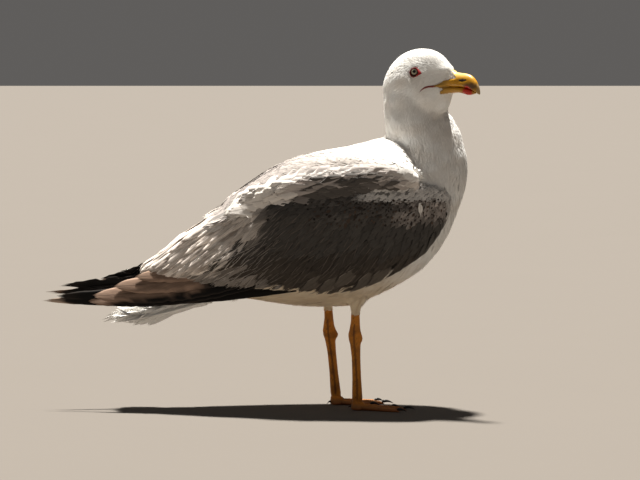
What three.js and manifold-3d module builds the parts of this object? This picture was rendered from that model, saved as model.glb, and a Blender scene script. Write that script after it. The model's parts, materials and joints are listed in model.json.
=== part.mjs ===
// A standing yellow-legged gull as a still, life-size model, in millimetres.
// +X is ahead of the body, +Y its left side and +Z up; the soles of the feet are on Z = 0.
// The body, wings and head are lofts whose sizes come from short tables of stations.
// Each table row is one station, and the columns are named above the table.
import * as THREE from "three";
import { mergeVertices } from "three/addons/utils/BufferGeometryUtils.js";
import Module from "manifold-3d";

const wasm = await Module();
wasm.setup();

// ---------------------------------------------------------------- driving dimensions

const GAP = 0.3; // clearance between two pieces that touch
const SWELL = 1.4; // how much more than the clearance a cutting copy is swollen
const FACET = 0.13; // facets flatter than this are merged
const CUT = 600; // side of the blocks that cut planes, larger than the whole bird
const UP = new THREE.Vector3(0, 0, 1);
const LEFTWARDS = new THREE.Vector3(0, 1, 0);

// Trunk with its plumage: station x, back height, belly height, half width.
const TRUNK = [
  [-236, 150, 147, 8],
  [-218, 161, 144, 18],
  [-197, 180, 140, 28],
  [-181, 193, 137, 35],
  [-158, 210, 130, 44],
  [-133, 226, 123, 51],
  [-102, 252, 118, 59],
  [-69, 272.5, 112.5, 65],
  [-40, 281, 110.5, 68.5],
  [-8, 286, 111.5, 70],
  [15, 292, 118, 70],
  [38, 299, 129, 67],
  [64, 292, 143, 62],
  [79, 287, 154, 56],
  [90, 284, 166, 48.5],
  [97, 281, 176, 42],
  [104.5, 278, 187, 34],
  [112, 274, 208, 23],
  [117, 269, 230, 15],
  [120, 262, 243, 7],
];
const TRUNK_REAR = -186; // where the trunk's own solid closes, under the folded wings
const BELLY_SHARE = 0.45; // height of the widest line, as a share of the section's height
const ROUNDNESS = 2.25; // superellipse exponent of the trunk's sections

// Folded wing: station x, height of its upper edge, height of its lower edge.
const WING = [
  [-235, 152, 149],
  [-220, 160.5, 149],
  [-206, 172.5, 147],
  [-191, 186, 143],
  [-176, 197, 139.5],
  [-152, 214.5, 138],
  [-128, 229, 137],
  [-113, 236, 136.5],
  [-82, 244, 134.5],
  [-52, 249, 131.5],
  [-25, 251, 128.5],
  [-7, 252, 132.5],
  [20, 252, 141.5],
  [46, 251, 152.5],
  [64, 250, 163],
  [79, 249, 177],
  [90, 246, 191],
  [101, 241, 205],
  [107, 234, 222],
];
const WING_DEPTH = [-3, 9]; // how far the wing's two faces lie outside the trunk

// Shoulder feathers that lap over the wing: station x, upper edge, lower edge.
const SCAPULARS = [
  [-141, 222, 218.5],
  [-132, 225, 218],
  [-110, 242, 223],
  [-71, 265, 235.5],
  [-39, 274, 238],
  [-17, 277, 239],
  [20, 278, 243],
  [37, 274, 243],
  [53, 267, 242.5],
  [65, 258, 243.5],
  [72, 251, 247],
];
const SCAPULARS_DEPTH = [-5, 13];

// Neck: centre x and z, half depth fore and aft, half width.
const NECK = [
  [50, 180, 42, 40],
  [62, 209, 47, 46],
  [71, 232, 47.5, 47],
  [77, 254, 47, 46],
  [79, 270, 47, 44],
  [79.5, 286, 44, 40],
  [76, 298, 40.5, 37],
  [70.5, 309, 36, 34],
  [67.5, 320, 34, 32],
  [66.5, 331, 34, 30.5],
  [66, 342, 33.5, 29],
  [65, 352, 31, 26],
];
const RUMP_CUT = -96; // x of the parting between trunk and rump
const HEAD_CUT = 331; // height of the parting between head and neck
const NECK_CUT = 277; // height of the parting between neck and trunk, at the neck's axis
const NECK_AXIS = 66; // x of the neck's axis
const NECK_CUT_TILT = 20; // degrees that this parting leans towards the breast

// Head about its own axis: x ahead of the pivot, top, bottom, half width.
const HEAD = [
  [-35.5, 356, 340, 6],
  [-34.4, 363, 330, 13],
  [-29.5, 374, 320, 18.5],
  [-20.5, 384.5, 314, 22.5],
  [-9, 391.5, 311, 24.8],
  [3, 395, 311, 25.5],
  [13, 396, 314, 25],
  [25, 395, 318.5, 22.5],
  [36, 391, 327, 18],
  [45.5, 384.5, 337.5, 13.4],
  [51.5, 377.5, 345, 10.5],
  [56.5, 370, 347.5, 7.6],
];
const HEAD_PIVOT = new THREE.Vector3(NECK_AXIS, 0, 0); // the head turns about this upright line
const HEAD_TURN = -42; // degrees, towards the bird's right
const EYE = { x: 14.3, side: 15.6, z: 369.7, radius: 7, opening: 4.5 };
const EYE_LOOK = 22; // degrees that each eye looks ahead of straight sideways

// Bill, in the head's frame: x, ridge height, cutting edge height, half width.
const UPPER_BILL = [
  [50, 370, 355.3, 7.7],
  [56, 371.6, 355.2, 7.7],
  [62, 369.4, 355.1, 7.1],
  [69, 368.5, 354.9, 6.4],
  [77, 367.6, 354, 5.7],
  [82.6, 365.6, 352, 5.2],
  [87.6, 361.4, 348.8, 4.3],
  [91, 356.2, 346.6, 3.2],
  [93, 351.4, 345.8, 2.1],
  [93.8, 348.2, 345.6, 1],
];
// Lower bill: x, cutting edge height, under edge height, half width.
const LOWER_BILL = [
  [51, 354.7, 346.9, 7],
  [57, 354.8, 346.9, 6.7],
  [67, 354.6, 347.5, 5.7],
  [74, 353.9, 346.2, 5.1],
  [79, 352.8, 345.1, 4.6],
  [84, 350.8, 345.9, 3.4],
  [88.5, 348, 347, 1.4],
];

// Legs: the stance of each foot, its turn outwards and how far the leg's top leans back.
const FEET = {
  right: { side: -1, y: -27, x: 0, turn: -3, lean: 0 },
  left: { side: 1, y: 27, x: -22.5, turn: 4, lean: -8.5 },
};
// Bare leg: x from the stance, z, half depth, half width.
const SHANK = [
  [2.4, 107, 4.4, 4.1],
  [2.4, 97, 4.9, 4.3],
  [1.9, 89, 6, 4.8],
  [1.9, 81.5, 7.5, 5.2],
  [2.3, 73, 5.9, 4.4],
  [3.2, 57, 4.8, 3.5],
  [3.9, 36, 4.9, 3.5],
  [4.4, 18, 5.6, 4.2],
  [4.8, 6, 7, 5.2],
];
// Feathered part of the leg, in the same columns.
const THIGH = [
  [3, 130, 20, 16],
  [3, 115, 13, 11],
  [3, 107, 7.2, 6.8],
  [2.5, 100, 5.8, 5.4],
];
const ANKLE_HEIGHT = 9; // where the foot's node takes over from the leg's
// Root of the foot, in the same columns.
const FOOT_ROOT = [
  [4.7, 14, 5.6, 4.4],
  [5, 9, 6.6, 5],
  [5.6, 4, 8.2, 6],
  [5.6, -3, 7.6, 6],
];
const WEB_THICKNESS = 1.3;
// Front toes: length without the claw, angle outwards in degrees, radius at the root.
const TOES = {
  inner: { length: 44, angle: -23, radius: 3.3, claw: 6.5 },
  middle: { length: 55, angle: 0, radius: 3.6, claw: 8.5 },
  outer: { length: 52, angle: 22, radius: 3.4, claw: 6.5 },
};
const HIND_TOE = { length: 7, height: 6.4, radius: 1.9, claw: 4 };
const WEB_SAG = 0.8; // the web's free edge, as a share of the chord's middle

// Wing tip feathers: tip x, tip z, half width; the first is the longest, at the edge.
const PRIMARIES = [
  [-344, 118.5, 7.6],
  [-320, 121.5, 8.6],
  [-298, 126, 9.2],
  [-273, 131, 9.6],
  [-249, 137, 10],
];
const PRIMARY_ROOT = { x: -60, z: 134, y: 50, rise: 3 };
const PRIMARY_TIP_Y = 7;
const PRIMARY_BOW = -5.5; // how far each wing tip feather curves down from straight
const LEFT_WING_TIP = { x: 5, z: 9 }; // the left wing's tips lie this much shorter and higher
const PRIMARY_THICKNESS = 1.1;

// Tail: the closed fan of tail feathers, its root and tip as x and z.
const TAIL = { root: [-130, 132], tip: [-268, 99], feathers: 6, spread: 50, width: 10.5 };
// Undertail feathers: x, top, bottom, half width.
const UNDERTAIL = [
  [-240, 104, 92, 12],
  [-225, 112, 96, 20],
  [-207, 121, 104, 24],
  [-181, 132, 113.5, 26],
  [-158, 140, 118, 26],
  [-135, 146, 121, 26],
  [-118, 141, 126, 18],
];

// ---------------------------------------------------------------- colours

const finish = (color, roughness, metalness = 0) =>
  new THREE.MeshStandardMaterial({ color, roughness, metalness });
const WHITE_PLUMAGE = finish(0xf0ece4, 0.85);
const GREY_PLUMAGE = finish(0xa8a29b, 0.8);
const WING_PLUMAGE = finish(0x5d554e, 0.8);
const FLIGHT_FEATHER = finish(0x2a2421, 0.6);
const BILL_HORN = finish(0xd89a18, 0.35);
const IRIS = finish(0xc9c5a0, 0.1);
const LEG_SKIN = finish(0xb86a10, 0.55);
const CLAW_HORN = finish(0x171412, 0.4);

// ---------------------------------------------------------------- tables and lofts

// A smooth function through the chosen column of a table, with no overshoot between rows.
function column(table, index) {
  const rows = [...table].sort((a, b) => a[0] - b[0]);
  const slopes = rows.slice(1).map((r, i) => (r[index] - rows[i][index]) / (r[0] - rows[i][0]));
  const tangents = rows.map((_, i) => {
    if (i === 0) return slopes[0];
    if (i === rows.length - 1) return slopes[i - 1];
    const [before, after] = [slopes[i - 1], slopes[i]];
    return before * after <= 0 ? 0 : (2 * before * after) / (before + after);
  });
  return (x) => {
    const last = rows.length - 2;
    let i = 0;
    while (i < last && x > rows[i + 1][0]) i += 1;
    const width = rows[i + 1][0] - rows[i][0];
    const t = THREE.MathUtils.clamp((x - rows[i][0]) / width, 0, 1);
    const [t2, t3] = [t * t, t * t * t];
    return (
      rows[i][index] * (2 * t3 - 3 * t2 + 1) +
      tangents[i] * width * (t3 - 2 * t2 + t) +
      rows[i + 1][index] * (3 * t2 - 2 * t3) +
      tangents[i + 1] * width * (t3 - t2)
    );
  };
}

// A closed loft: place(s, angle) gives the point at share s of the length and angle round it.
function loft(around, along, place) {
  const geometry = new THREE.SphereGeometry(1, around, along);
  const points = geometry.getAttribute("position");
  const uv = geometry.getAttribute("uv");
  for (let i = 0; i < points.count; i += 1) {
    const turn = uv.getX(i) >= 1 - 1e-6 ? 0 : Math.round(uv.getX(i) * around) % around;
    const s = Math.round(uv.getY(i) * along) / along;
    const p = place(s, (turn / around) * Math.PI * 2);
    points.setXYZ(i, p.x, p.y, p.z);
  }
  geometry.deleteAttribute("normal");
  geometry.deleteAttribute("uv");
  return geometry;
}

// Turns a closed geometry into a solid with its faces pointing out.
function solid(geometry) {
  geometry.deleteAttribute("normal");
  geometry.deleteAttribute("uv");
  const merged = mergeVertices(geometry, 1e-3);
  const triVerts = new Uint32Array(merged.index.array);
  const make = () =>
    new wasm.Manifold(
      new wasm.Mesh({
        numProp: 3,
        vertProperties: new Float32Array(merged.attributes.position.array),
        triVerts,
      }),
    );
  const made = make();
  if (made.volume() > 0) return made;
  for (let i = 0; i < triVerts.length; i += 3)
    [triVerts[i + 1], triVerts[i + 2]] = [triVerts[i + 2], triVerts[i + 1]];
  return make();
}

const signedPower = (value, power) => Math.sign(value) * Math.abs(value) ** power;

// A section's outline point: half width, height of the widest line, top and bottom.
function sectionPoint(angle, width, widest, top, bottom, exponent) {
  const across = signedPower(Math.cos(angle), 2 / exponent);
  const upright = signedPower(Math.sin(angle), 2 / exponent);
  const reach = upright > 0 ? top - widest : widest - bottom;
  return { y: width * across, z: widest + reach * upright };
}

// A loft of upright sections from a table of x, top, bottom and half width.
function uprightLoft(table, { around, along, exponent = 2, share = 0.5, rear }) {
  const [top, bottom, width] = [1, 2, 3].map((i) => column(table, i));
  const xs = table.map((row) => row[0]);
  const [x0, x1] = [rear ?? Math.min(...xs), Math.max(...xs)];
  return solid(
    loft(around, along, (s, angle) => {
      const x = x0 + ((x1 - x0) * (1 - Math.cos(s * Math.PI))) / 2;
      const blunt = endRounding(s);
      const [t, b] = [top(x), bottom(x)];
      const widest = b + (t - b) * share;
      const p = sectionPoint(angle, width(x) * blunt, widest, t, b, exponent);
      return new THREE.Vector3(x, p.y, widest + (p.z - widest) * blunt);
    }),
  );
}

// Rounds off a loft over the last tenth at each end.
function endRounding(s) {
  const end = Math.min(s, 1 - s) / 0.1;
  return end >= 1 ? 1 : Math.sqrt(Math.max(0, 1 - (1 - end) ** 2));
}

// A loft along a spine in an upright plane, from rows of x, z, half depth and half width.
function spineLoft(rows, { around, along, y = 0 }) {
  const spine = new THREE.CatmullRomCurve3(rows.map((r) => new THREE.Vector3(r[0], y, r[1])));
  const sizes = new THREE.CatmullRomCurve3(rows.map((r) => new THREE.Vector3(r[2], r[3], 0)));
  return solid(
    loft(around, along, (s, angle) => {
      const centre = spine.getPoint(s);
      const tangent = spine.getTangent(s);
      const forward = new THREE.Vector3(tangent.z, 0, -tangent.x).normalize();
      const size = sizes.getPoint(s).multiplyScalar(endRounding(s));
      return centre
        .addScaledVector(forward, size.x * Math.cos(angle))
        .addScaledVector(LEFTWARDS, size.y * Math.sin(angle));
    }),
  );
}

// A feather blade: a thin lens along a curve from root to tip, lying in the plane that
// holds its length and the vector "across".
function blade(root, tip, { across, width, thickness, bow = 0 }) {
  const middle = root.clone().lerp(tip, 0.55).addScaledVector(across, bow);
  const spine = new THREE.QuadraticBezierCurve3(root, middle, tip);
  const normal = new THREE.Vector3().crossVectors(tip.clone().sub(root), across).normalize();
  return solid(
    loft(6, 6, (s, angle) => {
      const taper = s > 0.8 ? Math.sqrt(Math.max(0, 1 - ((s - 0.8) / 0.2) ** 2)) : 1;
      const half = THREE.MathUtils.lerp(width * 0.7, width, Math.min(1, s * 2)) * taper;
      const end = s <= 0 || s >= 1 ? 0 : 1;
      const thick = (thickness / 2) * THREE.MathUtils.lerp(1.5, 1, s);
      return spine
        .getPoint(s)
        .addScaledVector(across, half * Math.cos(angle) * end)
        .addScaledVector(normal, thick * Math.sin(angle) * end);
    }),
  );
}

// ---------------------------------------------------------------- cutting tools

function block(cx, cy, cz, sx, sy, sz, turnY = 0) {
  const geometry = new THREE.BoxGeometry(sx, sy, sz);
  geometry.translate(0, 0, sz / 2);
  geometry.rotateY(THREE.MathUtils.degToRad(turnY));
  geometry.translate(cx, cy, cz);
  return solid(geometry);
}

// Everything behind an upright plane.
const behind = (x) => block(x - CUT / 2, 0, -CUT / 4, CUT, CUT, CUT);

// Everything above a plane through a point, leaning by some degrees about Y.
const above = (x, z, tilt = 0) => block(x, 0, z, CUT, CUT, CUT, tilt);

function unite(solids) {
  return solids.reduce((all, one) => all.add(one));
}

// A copy swollen along its vertex normals, used to cut clearance into a neighbour.
function room(made) {
  const { numProp, vertProperties, triVerts } = made.getMesh();
  const geometry = meshGeometry(numProp, vertProperties, triVerts);
  geometry.computeVertexNormals();
  const points = geometry.getAttribute("position");
  const normals = geometry.getAttribute("normal");
  for (let i = 0; i < points.count; i += 1) {
    const p = new THREE.Vector3().fromBufferAttribute(points, i);
    p.addScaledVector(new THREE.Vector3().fromBufferAttribute(normals, i), GAP * SWELL);
    points.setXYZ(i, p.x, p.y, p.z);
  }
  return solid(geometry).add(made);
}

// Plain positions and faces of a solid as a geometry.
function meshGeometry(numProp, vertProperties, triVerts) {
  const points = new Float32Array((vertProperties.length / numProp) * 3);
  for (let i = 0; i < points.length / 3; i += 1)
    points.set(vertProperties.subarray(i * numProp, i * numProp + 3), i * 3);
  const geometry = new THREE.BufferGeometry();
  geometry.setAttribute("position", new THREE.BufferAttribute(points, 3));
  geometry.setIndex(new THREE.BufferAttribute(new Uint32Array(triVerts), 1));
  return geometry;
}

// Keeps the largest body, dropping slivers that a cut leaves behind.
function largest(made) {
  return made.decompose().sort((a, b) => b.volume() - a.volume())[0];
}

// ---------------------------------------------------------------- trunk and wings

const trunkTop = column(TRUNK, 1);
const trunkBottom = column(TRUNK, 2);
const trunkWidth = column(TRUNK, 3);

// The trunk's outline point at x, moved outwards by a depth.
function trunkPoint(x, angle, depth) {
  const [t, b] = [trunkTop(x) + depth, trunkBottom(x) - depth];
  const widest = b + (t - b) * BELLY_SHARE;
  return sectionPoint(angle, trunkWidth(x) + depth, widest, t, b, ROUNDNESS);
}

// The angle round the trunk's section at which its surface reaches a height.
function trunkAngle(x, z) {
  const [t, b] = [trunkTop(x), trunkBottom(x)];
  const widest = b + (t - b) * BELLY_SHARE;
  const reach = z > widest ? t - widest : widest - b;
  const share = THREE.MathUtils.clamp((z - widest) / reach, -1, 1);
  return Math.asin(signedPower(share, ROUNDNESS / 2));
}

// A plate that lies on the trunk between two edges, on one side.
function bodyPlate(table, [inner, outer], side, along) {
  const [upper, lower] = [column(table, 1), column(table, 2)];
  const xs = table.map((row) => row[0]);
  const [x0, x1] = [Math.min(...xs), Math.max(...xs)];
  const thick = (outer - inner) / 2;
  return solid(
    loft(10, along, (s, angle) => {
      const x = x0 + ((x1 - x0) * (1 - Math.cos(s * Math.PI))) / 2;
      const [a0, a1] = [trunkAngle(x, lower(x)), trunkAngle(x, upper(x))];
      const end = endRounding(s);
      const reach = ((a1 - a0) / 2) * signedPower(Math.cos(angle), 0.8) * end;
      const depth = (inner + outer) / 2 + thick * signedPower(Math.sin(angle), 0.8) * end;
      const p = trunkPoint(x, (a0 + a1) / 2 + reach, depth);
      return new THREE.Vector3(x, side * Math.max(p.y, GAP), p.z);
    }),
  );
}

const wing = (side) => bodyPlate(WING, WING_DEPTH, side, 16);
const scapulars = (side) => bodyPlate(SCAPULARS, SCAPULARS_DEPTH, side, 12);

const trunkSolid = () =>
  uprightLoft(TRUNK, {
    around: 20,
    along: 16,
    exponent: ROUNDNESS,
    share: BELLY_SHARE,
    rear: TRUNK_REAR,
  });

// The fan of wing tip feathers on one side.
function primaries(side) {
  const lift = side > 0 ? LEFT_WING_TIP : { x: 0, z: 0 };
  return unite(
    PRIMARIES.map(([x, z, width], i) => {
      const share = i / (PRIMARIES.length - 1);
      const root = new THREE.Vector3(
        PRIMARY_ROOT.x,
        side * (PRIMARY_ROOT.y - 2.5 * i),
        PRIMARY_ROOT.z + PRIMARY_ROOT.rise * i + lift.z,
      );
      const tip = new THREE.Vector3(
        x + lift.x,
        side * (PRIMARY_TIP_Y + 9 * share),
        z + lift.z,
      );
      const across = new THREE.Vector3(0.1, -0.42 * side, 0.9).normalize();
      return blade(root, tip, { across, width, thickness: PRIMARY_THICKNESS, bow: PRIMARY_BOW });
    }),
  );
}

// Undertail feathers and the closed fan of tail feathers.
function tailSolid() {
  const undertail = uprightLoft(UNDERTAIL, { around: 14, along: 8 });
  const { root, tip, feathers, spread, width } = TAIL;
  const fan = Array.from({ length: feathers }, (_, i) => {
    const share = i / (feathers - 1) - 0.5;
    const from = new THREE.Vector3(root[0], share * 14, root[1]);
    const to = new THREE.Vector3(
      tip[0] + Math.abs(share) * 18,
      share * spread,
      tip[1] + (0.25 - share * share) * 8,
    );
    return blade(from, to, { across: LEFTWARDS, width, thickness: PRIMARY_THICKNESS });
  });
  return unite([undertail, ...fan]);
}

// ---------------------------------------------------------------- head and bill

const headToBody = new THREE.Matrix4()
  .makeTranslation(HEAD_PIVOT)
  .multiply(new THREE.Matrix4().makeRotationZ(THREE.MathUtils.degToRad(HEAD_TURN)));
const inHead = (made) => made.transform(headToBody.elements);

const HEAD_SHAPE = { around: 20, along: 14, exponent: 2.1, share: 0.45 };
const headLoft = () => inHead(uprightLoft(HEAD, HEAD_SHAPE));
const upperBill = () => inHead(uprightLoft(UPPER_BILL, { around: 12, along: 13, share: 0.35 }));
const lowerBill = () => inHead(uprightLoft(LOWER_BILL, { around: 12, along: 10, share: 0.6 }));

// Where an eye sits, in the head's frame, and the way it looks.
function eyePlace(side) {
  const look = THREE.MathUtils.degToRad(90 - EYE_LOOK) * side;
  return {
    centre: new THREE.Vector3(EYE.x, side * EYE.side, EYE.z),
    look: new THREE.Vector3(Math.cos(look), Math.sin(look), 0),
  };
}

function eyeSolid(side) {
  const geometry = new THREE.SphereGeometry(EYE.radius, 10, 7);
  const { centre } = eyePlace(side);
  return inHead(solid(geometry.translate(centre.x, centre.y, centre.z)));
}

// The flared opening between the lids.
function lidOpening(side) {
  const { centre, look } = eyePlace(side);
  const geometry = new THREE.CylinderGeometry(EYE.opening * 2.6, EYE.opening, 16, 8);
  geometry.translate(0, 8 + EYE.radius * 0.62, 0);
  geometry.applyQuaternion(
    new THREE.Quaternion().setFromUnitVectors(new THREE.Vector3(0, 1, 0), look),
  );
  return inHead(solid(geometry.translate(centre.x, centre.y, centre.z)));
}

// ---------------------------------------------------------------- legs and feet

// Moves a leg's table of stations to its foot, leaning it back with height.
const stance = (rows, { x, lean }) =>
  rows.map(([dx, z, depth, width]) => [x + dx + (lean * z) / THIGH[0][1], z, depth, width]);
const thigh = (foot) => spineLoft(stance(THIGH, foot), { around: 12, along: 6, y: foot.y });
const shank = (foot) => spineLoft(stance(SHANK, foot), { around: 10, along: 12, y: foot.y });

const anklePoint = (foot) => new THREE.Vector3(foot.x + 4.6, foot.y, 0);

// The flat direction of a toe.
function toeWay(foot, toe) {
  const angle = THREE.MathUtils.degToRad(foot.turn + toe.angle * foot.side);
  return new THREE.Vector3(Math.cos(angle), Math.sin(angle), 0);
}

// A toe with a swelling at each of its joints.
function toeSolid(foot, toe) {
  const way = toeWay(foot, toe);
  const from = anklePoint(foot);
  const sideways = new THREE.Vector3(-way.y, way.x, 0);
  return solid(
    loft(7, 8, (s, angle) => {
      const swell = 1 + 0.09 * Math.cos(s * Math.PI * 6);
      const radius = toe.radius * THREE.MathUtils.lerp(1, 0.66, s) * swell * endRounding(s);
      const lift = radius * 0.78 + (1 - s) ** 3 * 2.4;
      return from
        .clone()
        .addScaledVector(way, s * toe.length)
        .addScaledVector(sideways, radius * Math.cos(angle))
        .addScaledVector(UP, lift + radius * Math.sin(angle));
    }),
  );
}

// The web between two toes, with a hollow free edge.
function webSolid(foot, first, second) {
  const from = anklePoint(foot);
  const tipOf = (toe) => from.clone().addScaledVector(toeWay(foot, toe), toe.length * 0.95);
  const [a, b] = [tipOf(first), tipOf(second)];
  const middle = a.clone().add(b).multiplyScalar(0.5);
  const pull = from.clone().lerp(middle, WEB_SAG);
  const shape = new THREE.Shape();
  shape.moveTo(from.x, from.y);
  shape.lineTo(a.x, a.y);
  shape.quadraticCurveTo(pull.x, pull.y, b.x, b.y);
  shape.closePath();
  const options = { depth: WEB_THICKNESS, bevelEnabled: false, curveSegments: 5 };
  return solid(new THREE.ExtrudeGeometry(shape, options));
}

// The short hind toe, raised behind the ankle on the inner side.
function hindToe(foot) {
  const way = new THREE.Vector3(-0.8, -0.45 * foot.side, -0.4).normalize();
  const root = anklePoint(foot).setZ(HIND_TOE.height).addScaledVector(way, 2);
  const tip = root.clone().addScaledVector(way, HIND_TOE.length);
  const spine = new THREE.LineCurve3(root, tip);
  const side = new THREE.Vector3().crossVectors(way, UP).normalize();
  const lift = new THREE.Vector3().crossVectors(side, way);
  return {
    tip,
    way,
    toe: solid(
      loft(6, 5, (s, angle) => {
        const radius = HIND_TOE.radius * THREE.MathUtils.lerp(1.3, 0.85, s) * endRounding(s);
        return spine
          .getPoint(s)
          .addScaledVector(side, radius * Math.cos(angle))
          .addScaledVector(lift, radius * Math.sin(angle));
      }),
    ),
  };
}

function footSolid(foot) {
  const { inner, middle, outer } = TOES;
  const ankle = spineLoft(stance(FOOT_ROOT, foot), { around: 10, along: 5, y: foot.y });
  const pieces = [inner, middle, outer].map((toe) => toeSolid(foot, toe));
  const webs = [
    [inner, middle],
    [middle, outer],
  ].map(([a, b]) => webSolid(foot, a, b));
  const whole = unite([ankle, ...pieces, ...webs, hindToe(foot).toe]);
  return whole.intersect(above(0, 0)).subtract(above(0, ANKLE_HEIGHT));
}

// A curved claw at the end of a toe.
function clawSolid(root, way, length, radius) {
  const side = new THREE.Vector3().crossVectors(way, UP).normalize();
  return solid(
    loft(6, 6, (s, angle) => {
      const size = radius * (1 - s) ** 0.7 * endRounding(Math.min(s, 0.5));
      const drop = Math.max(0, root.z + way.z * length - 0.6);
      const hook = size * 0.2 - s ** 2 * drop;
      return root
        .clone()
        .addScaledVector(way, s * length)
        .addScaledVector(UP, hook + size * Math.sin(angle))
        .addScaledVector(side, size * 0.8 * Math.cos(angle));
    }),
  );
}

// ---------------------------------------------------------------- assembly

const gull = new THREE.Group();

// Adds a solid to the model as a named mesh.
function place(name, made, material, facet = FACET) {
  const { numProp, vertProperties, triVerts } = largest(made.simplify(facet)).getMesh();
  const geometry = meshGeometry(numProp, vertProperties, triVerts);
  geometry.computeVertexNormals();
  const mesh = new THREE.Mesh(geometry, material);
  mesh.name = name;
  gull.add(mesh);
}

const neckLoft = spineLoft(NECK, { around: 18, along: 12 });
const body = unite([trunkSolid(), neckLoft, headLoft()]);
const overHead = above(0, HEAD_CUT);
const overNeck = above(NECK_AXIS, NECK_CUT, NECK_CUT_TILT);
const tail = tailSolid();
const bill = { upper: upperBill().subtract(room(lowerBill())), lower: lowerBill() };

// Head, neck, trunk and rump are one surface, parted by three thin cuts.
const neck = body.intersect(above(NECK_AXIS, NECK_CUT + GAP, NECK_CUT_TILT)).subtract(overHead);
let head = body.intersect(above(0, HEAD_CUT + GAP));
let trunk = body.subtract(overNeck).subtract(room(tail));
head = head.subtract(room(upperBill())).subtract(room(bill.lower));

for (const [name, foot] of Object.entries(FEET)) {
  const { side } = foot;
  const eye = eyeSolid(side);
  const wingPlate = wing(side).subtract(room(tail));
  const shoulder = scapulars(side).subtract(overNeck);
  const leg = shank(foot);
  const tips = primaries(side).subtract(room(wingPlate)).subtract(room(trunkSolid()));
  head = head.subtract(room(eye)).subtract(lidOpening(side));
  trunk = trunk.subtract(room(wingPlate)).subtract(room(shoulder)).subtract(room(thigh(foot)));
  place(`eye_${name}`, eye, IRIS);
  place(`scapulars_${name}`, shoulder.subtract(room(wingPlate)), GREY_PLUMAGE);
  place(`wing_${name}`, wingPlate, WING_PLUMAGE);
  place(`primaries_${name}`, tips.subtract(room(tail)), FLIGHT_FEATHER);
  place(`thigh_${name}`, thigh(foot).subtract(room(leg)), WHITE_PLUMAGE);
  place(`shank_${name}`, leg.intersect(above(0, ANKLE_HEIGHT + GAP)), LEG_SKIN);
  place(`foot_${name}`, footSolid(foot), LEG_SKIN);
  for (const [toeName, toe] of Object.entries(TOES)) {
    const way = toeWay(foot, toe);
    const root = anklePoint(foot).addScaledVector(way, toe.length + GAP).setZ(2.2);
    place(`claw_${name}_${toeName}`, clawSolid(root, way, toe.claw, 1.9), CLAW_HORN);
  }
  const hind = hindToe(foot);
  const hindRoot = hind.tip.clone().addScaledVector(hind.way, GAP);
  place(`claw_${name}_hind`, clawSolid(hindRoot, hind.way, HIND_TOE.claw, 1.3), CLAW_HORN);
}
place("head", head, WHITE_PLUMAGE);
place("neck", neck, WHITE_PLUMAGE);
place("trunk", trunk.subtract(behind(RUMP_CUT)), WHITE_PLUMAGE);
place("rump", trunk.intersect(behind(RUMP_CUT - GAP)), WHITE_PLUMAGE, FACET / 4);
place("tail", tail, WHITE_PLUMAGE);
place("bill_upper", bill.upper, BILL_HORN);
place("bill_lower", bill.lower, BILL_HORN);

// The frame's origin is on the floor, under the middle of the model's box.
const box = new THREE.Box3().setFromObject(gull);
gull.position.set(-(box.min.x + box.max.x) / 2, -(box.min.y + box.max.y) / 2, 0);

export default gull;
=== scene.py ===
"""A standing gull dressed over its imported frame.

The frame gives the bird's closed solids. This script lays one skin inside the solids of flesh and
covers it with feathers of real mesh. It builds the bill, eyes, bare legs and claws as pieces of
their own. Sizes are millimetres in the body's axes: +X ahead, +Y the bird's left, +Z up, with X
measured from the middle of the body as the frame's solids have it.
"""

import json
import logging
import math
from dataclasses import dataclass, replace
from enum import Enum
from typing import Callable

import bmesh
import bpy
import numpy as np
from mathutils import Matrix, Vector
from mathutils.bvhtree import BVHTree

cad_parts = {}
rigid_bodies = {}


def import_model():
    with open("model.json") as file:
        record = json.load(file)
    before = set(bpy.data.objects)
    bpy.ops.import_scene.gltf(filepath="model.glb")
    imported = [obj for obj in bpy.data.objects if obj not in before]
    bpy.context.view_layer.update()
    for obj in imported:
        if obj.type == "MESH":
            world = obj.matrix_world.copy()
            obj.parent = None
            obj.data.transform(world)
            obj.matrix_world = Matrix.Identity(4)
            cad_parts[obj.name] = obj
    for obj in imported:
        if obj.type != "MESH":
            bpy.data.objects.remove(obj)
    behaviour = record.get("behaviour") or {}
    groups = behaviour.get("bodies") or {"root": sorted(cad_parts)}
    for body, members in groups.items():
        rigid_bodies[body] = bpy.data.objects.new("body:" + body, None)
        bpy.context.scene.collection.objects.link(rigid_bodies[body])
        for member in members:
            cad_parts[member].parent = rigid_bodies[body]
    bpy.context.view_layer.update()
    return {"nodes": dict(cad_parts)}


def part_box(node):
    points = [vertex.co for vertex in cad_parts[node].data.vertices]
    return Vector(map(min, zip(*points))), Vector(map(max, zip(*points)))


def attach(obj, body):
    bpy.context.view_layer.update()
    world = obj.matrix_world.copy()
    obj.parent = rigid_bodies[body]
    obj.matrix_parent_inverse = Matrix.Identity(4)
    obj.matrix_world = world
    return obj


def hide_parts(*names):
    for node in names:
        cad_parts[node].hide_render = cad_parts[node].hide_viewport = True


LOG = logging.getLogger("gull")
MM = 0.001
BODY = "root"
SHOULDER_FRONT = 72.0

Array = np.ndarray
Field = Callable[[Array, Array], Array]


class Slot(str, Enum):
    """The record's material slots."""

    FLESH = "plumage_flesh"
    WHITE = "plumage_white"
    GREY = "plumage_grey"
    WING = "plumage_wing"
    FLIGHT = "flight_feather"
    BILL = "bill_horn"
    EYE = "eye"
    LEG = "leg_skin"
    CLAW = "claw_horn"


class Side(Enum):
    """The bird's two sides, by the sign of Y."""

    RIGHT = -1
    LEFT = 1

    @property
    def word(self) -> str:
        """The side's name as the frame's nodes spell it."""
        return self.name.lower()


# ---------------------------------------------------------------- numbers


def smooth(low: float, high: float, x: Array) -> Array:
    """A soft step from 0 at low to 1 at high."""
    t = np.clip((np.asarray(x, float) - low) / (high - low), 0, 1)
    return t * t * (3 - 2 * t)


def unit(v: Array) -> Array:
    """Vectors scaled to length one."""
    return v / np.maximum(np.linalg.norm(v, axis=-1, keepdims=True), 1e-9)


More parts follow.
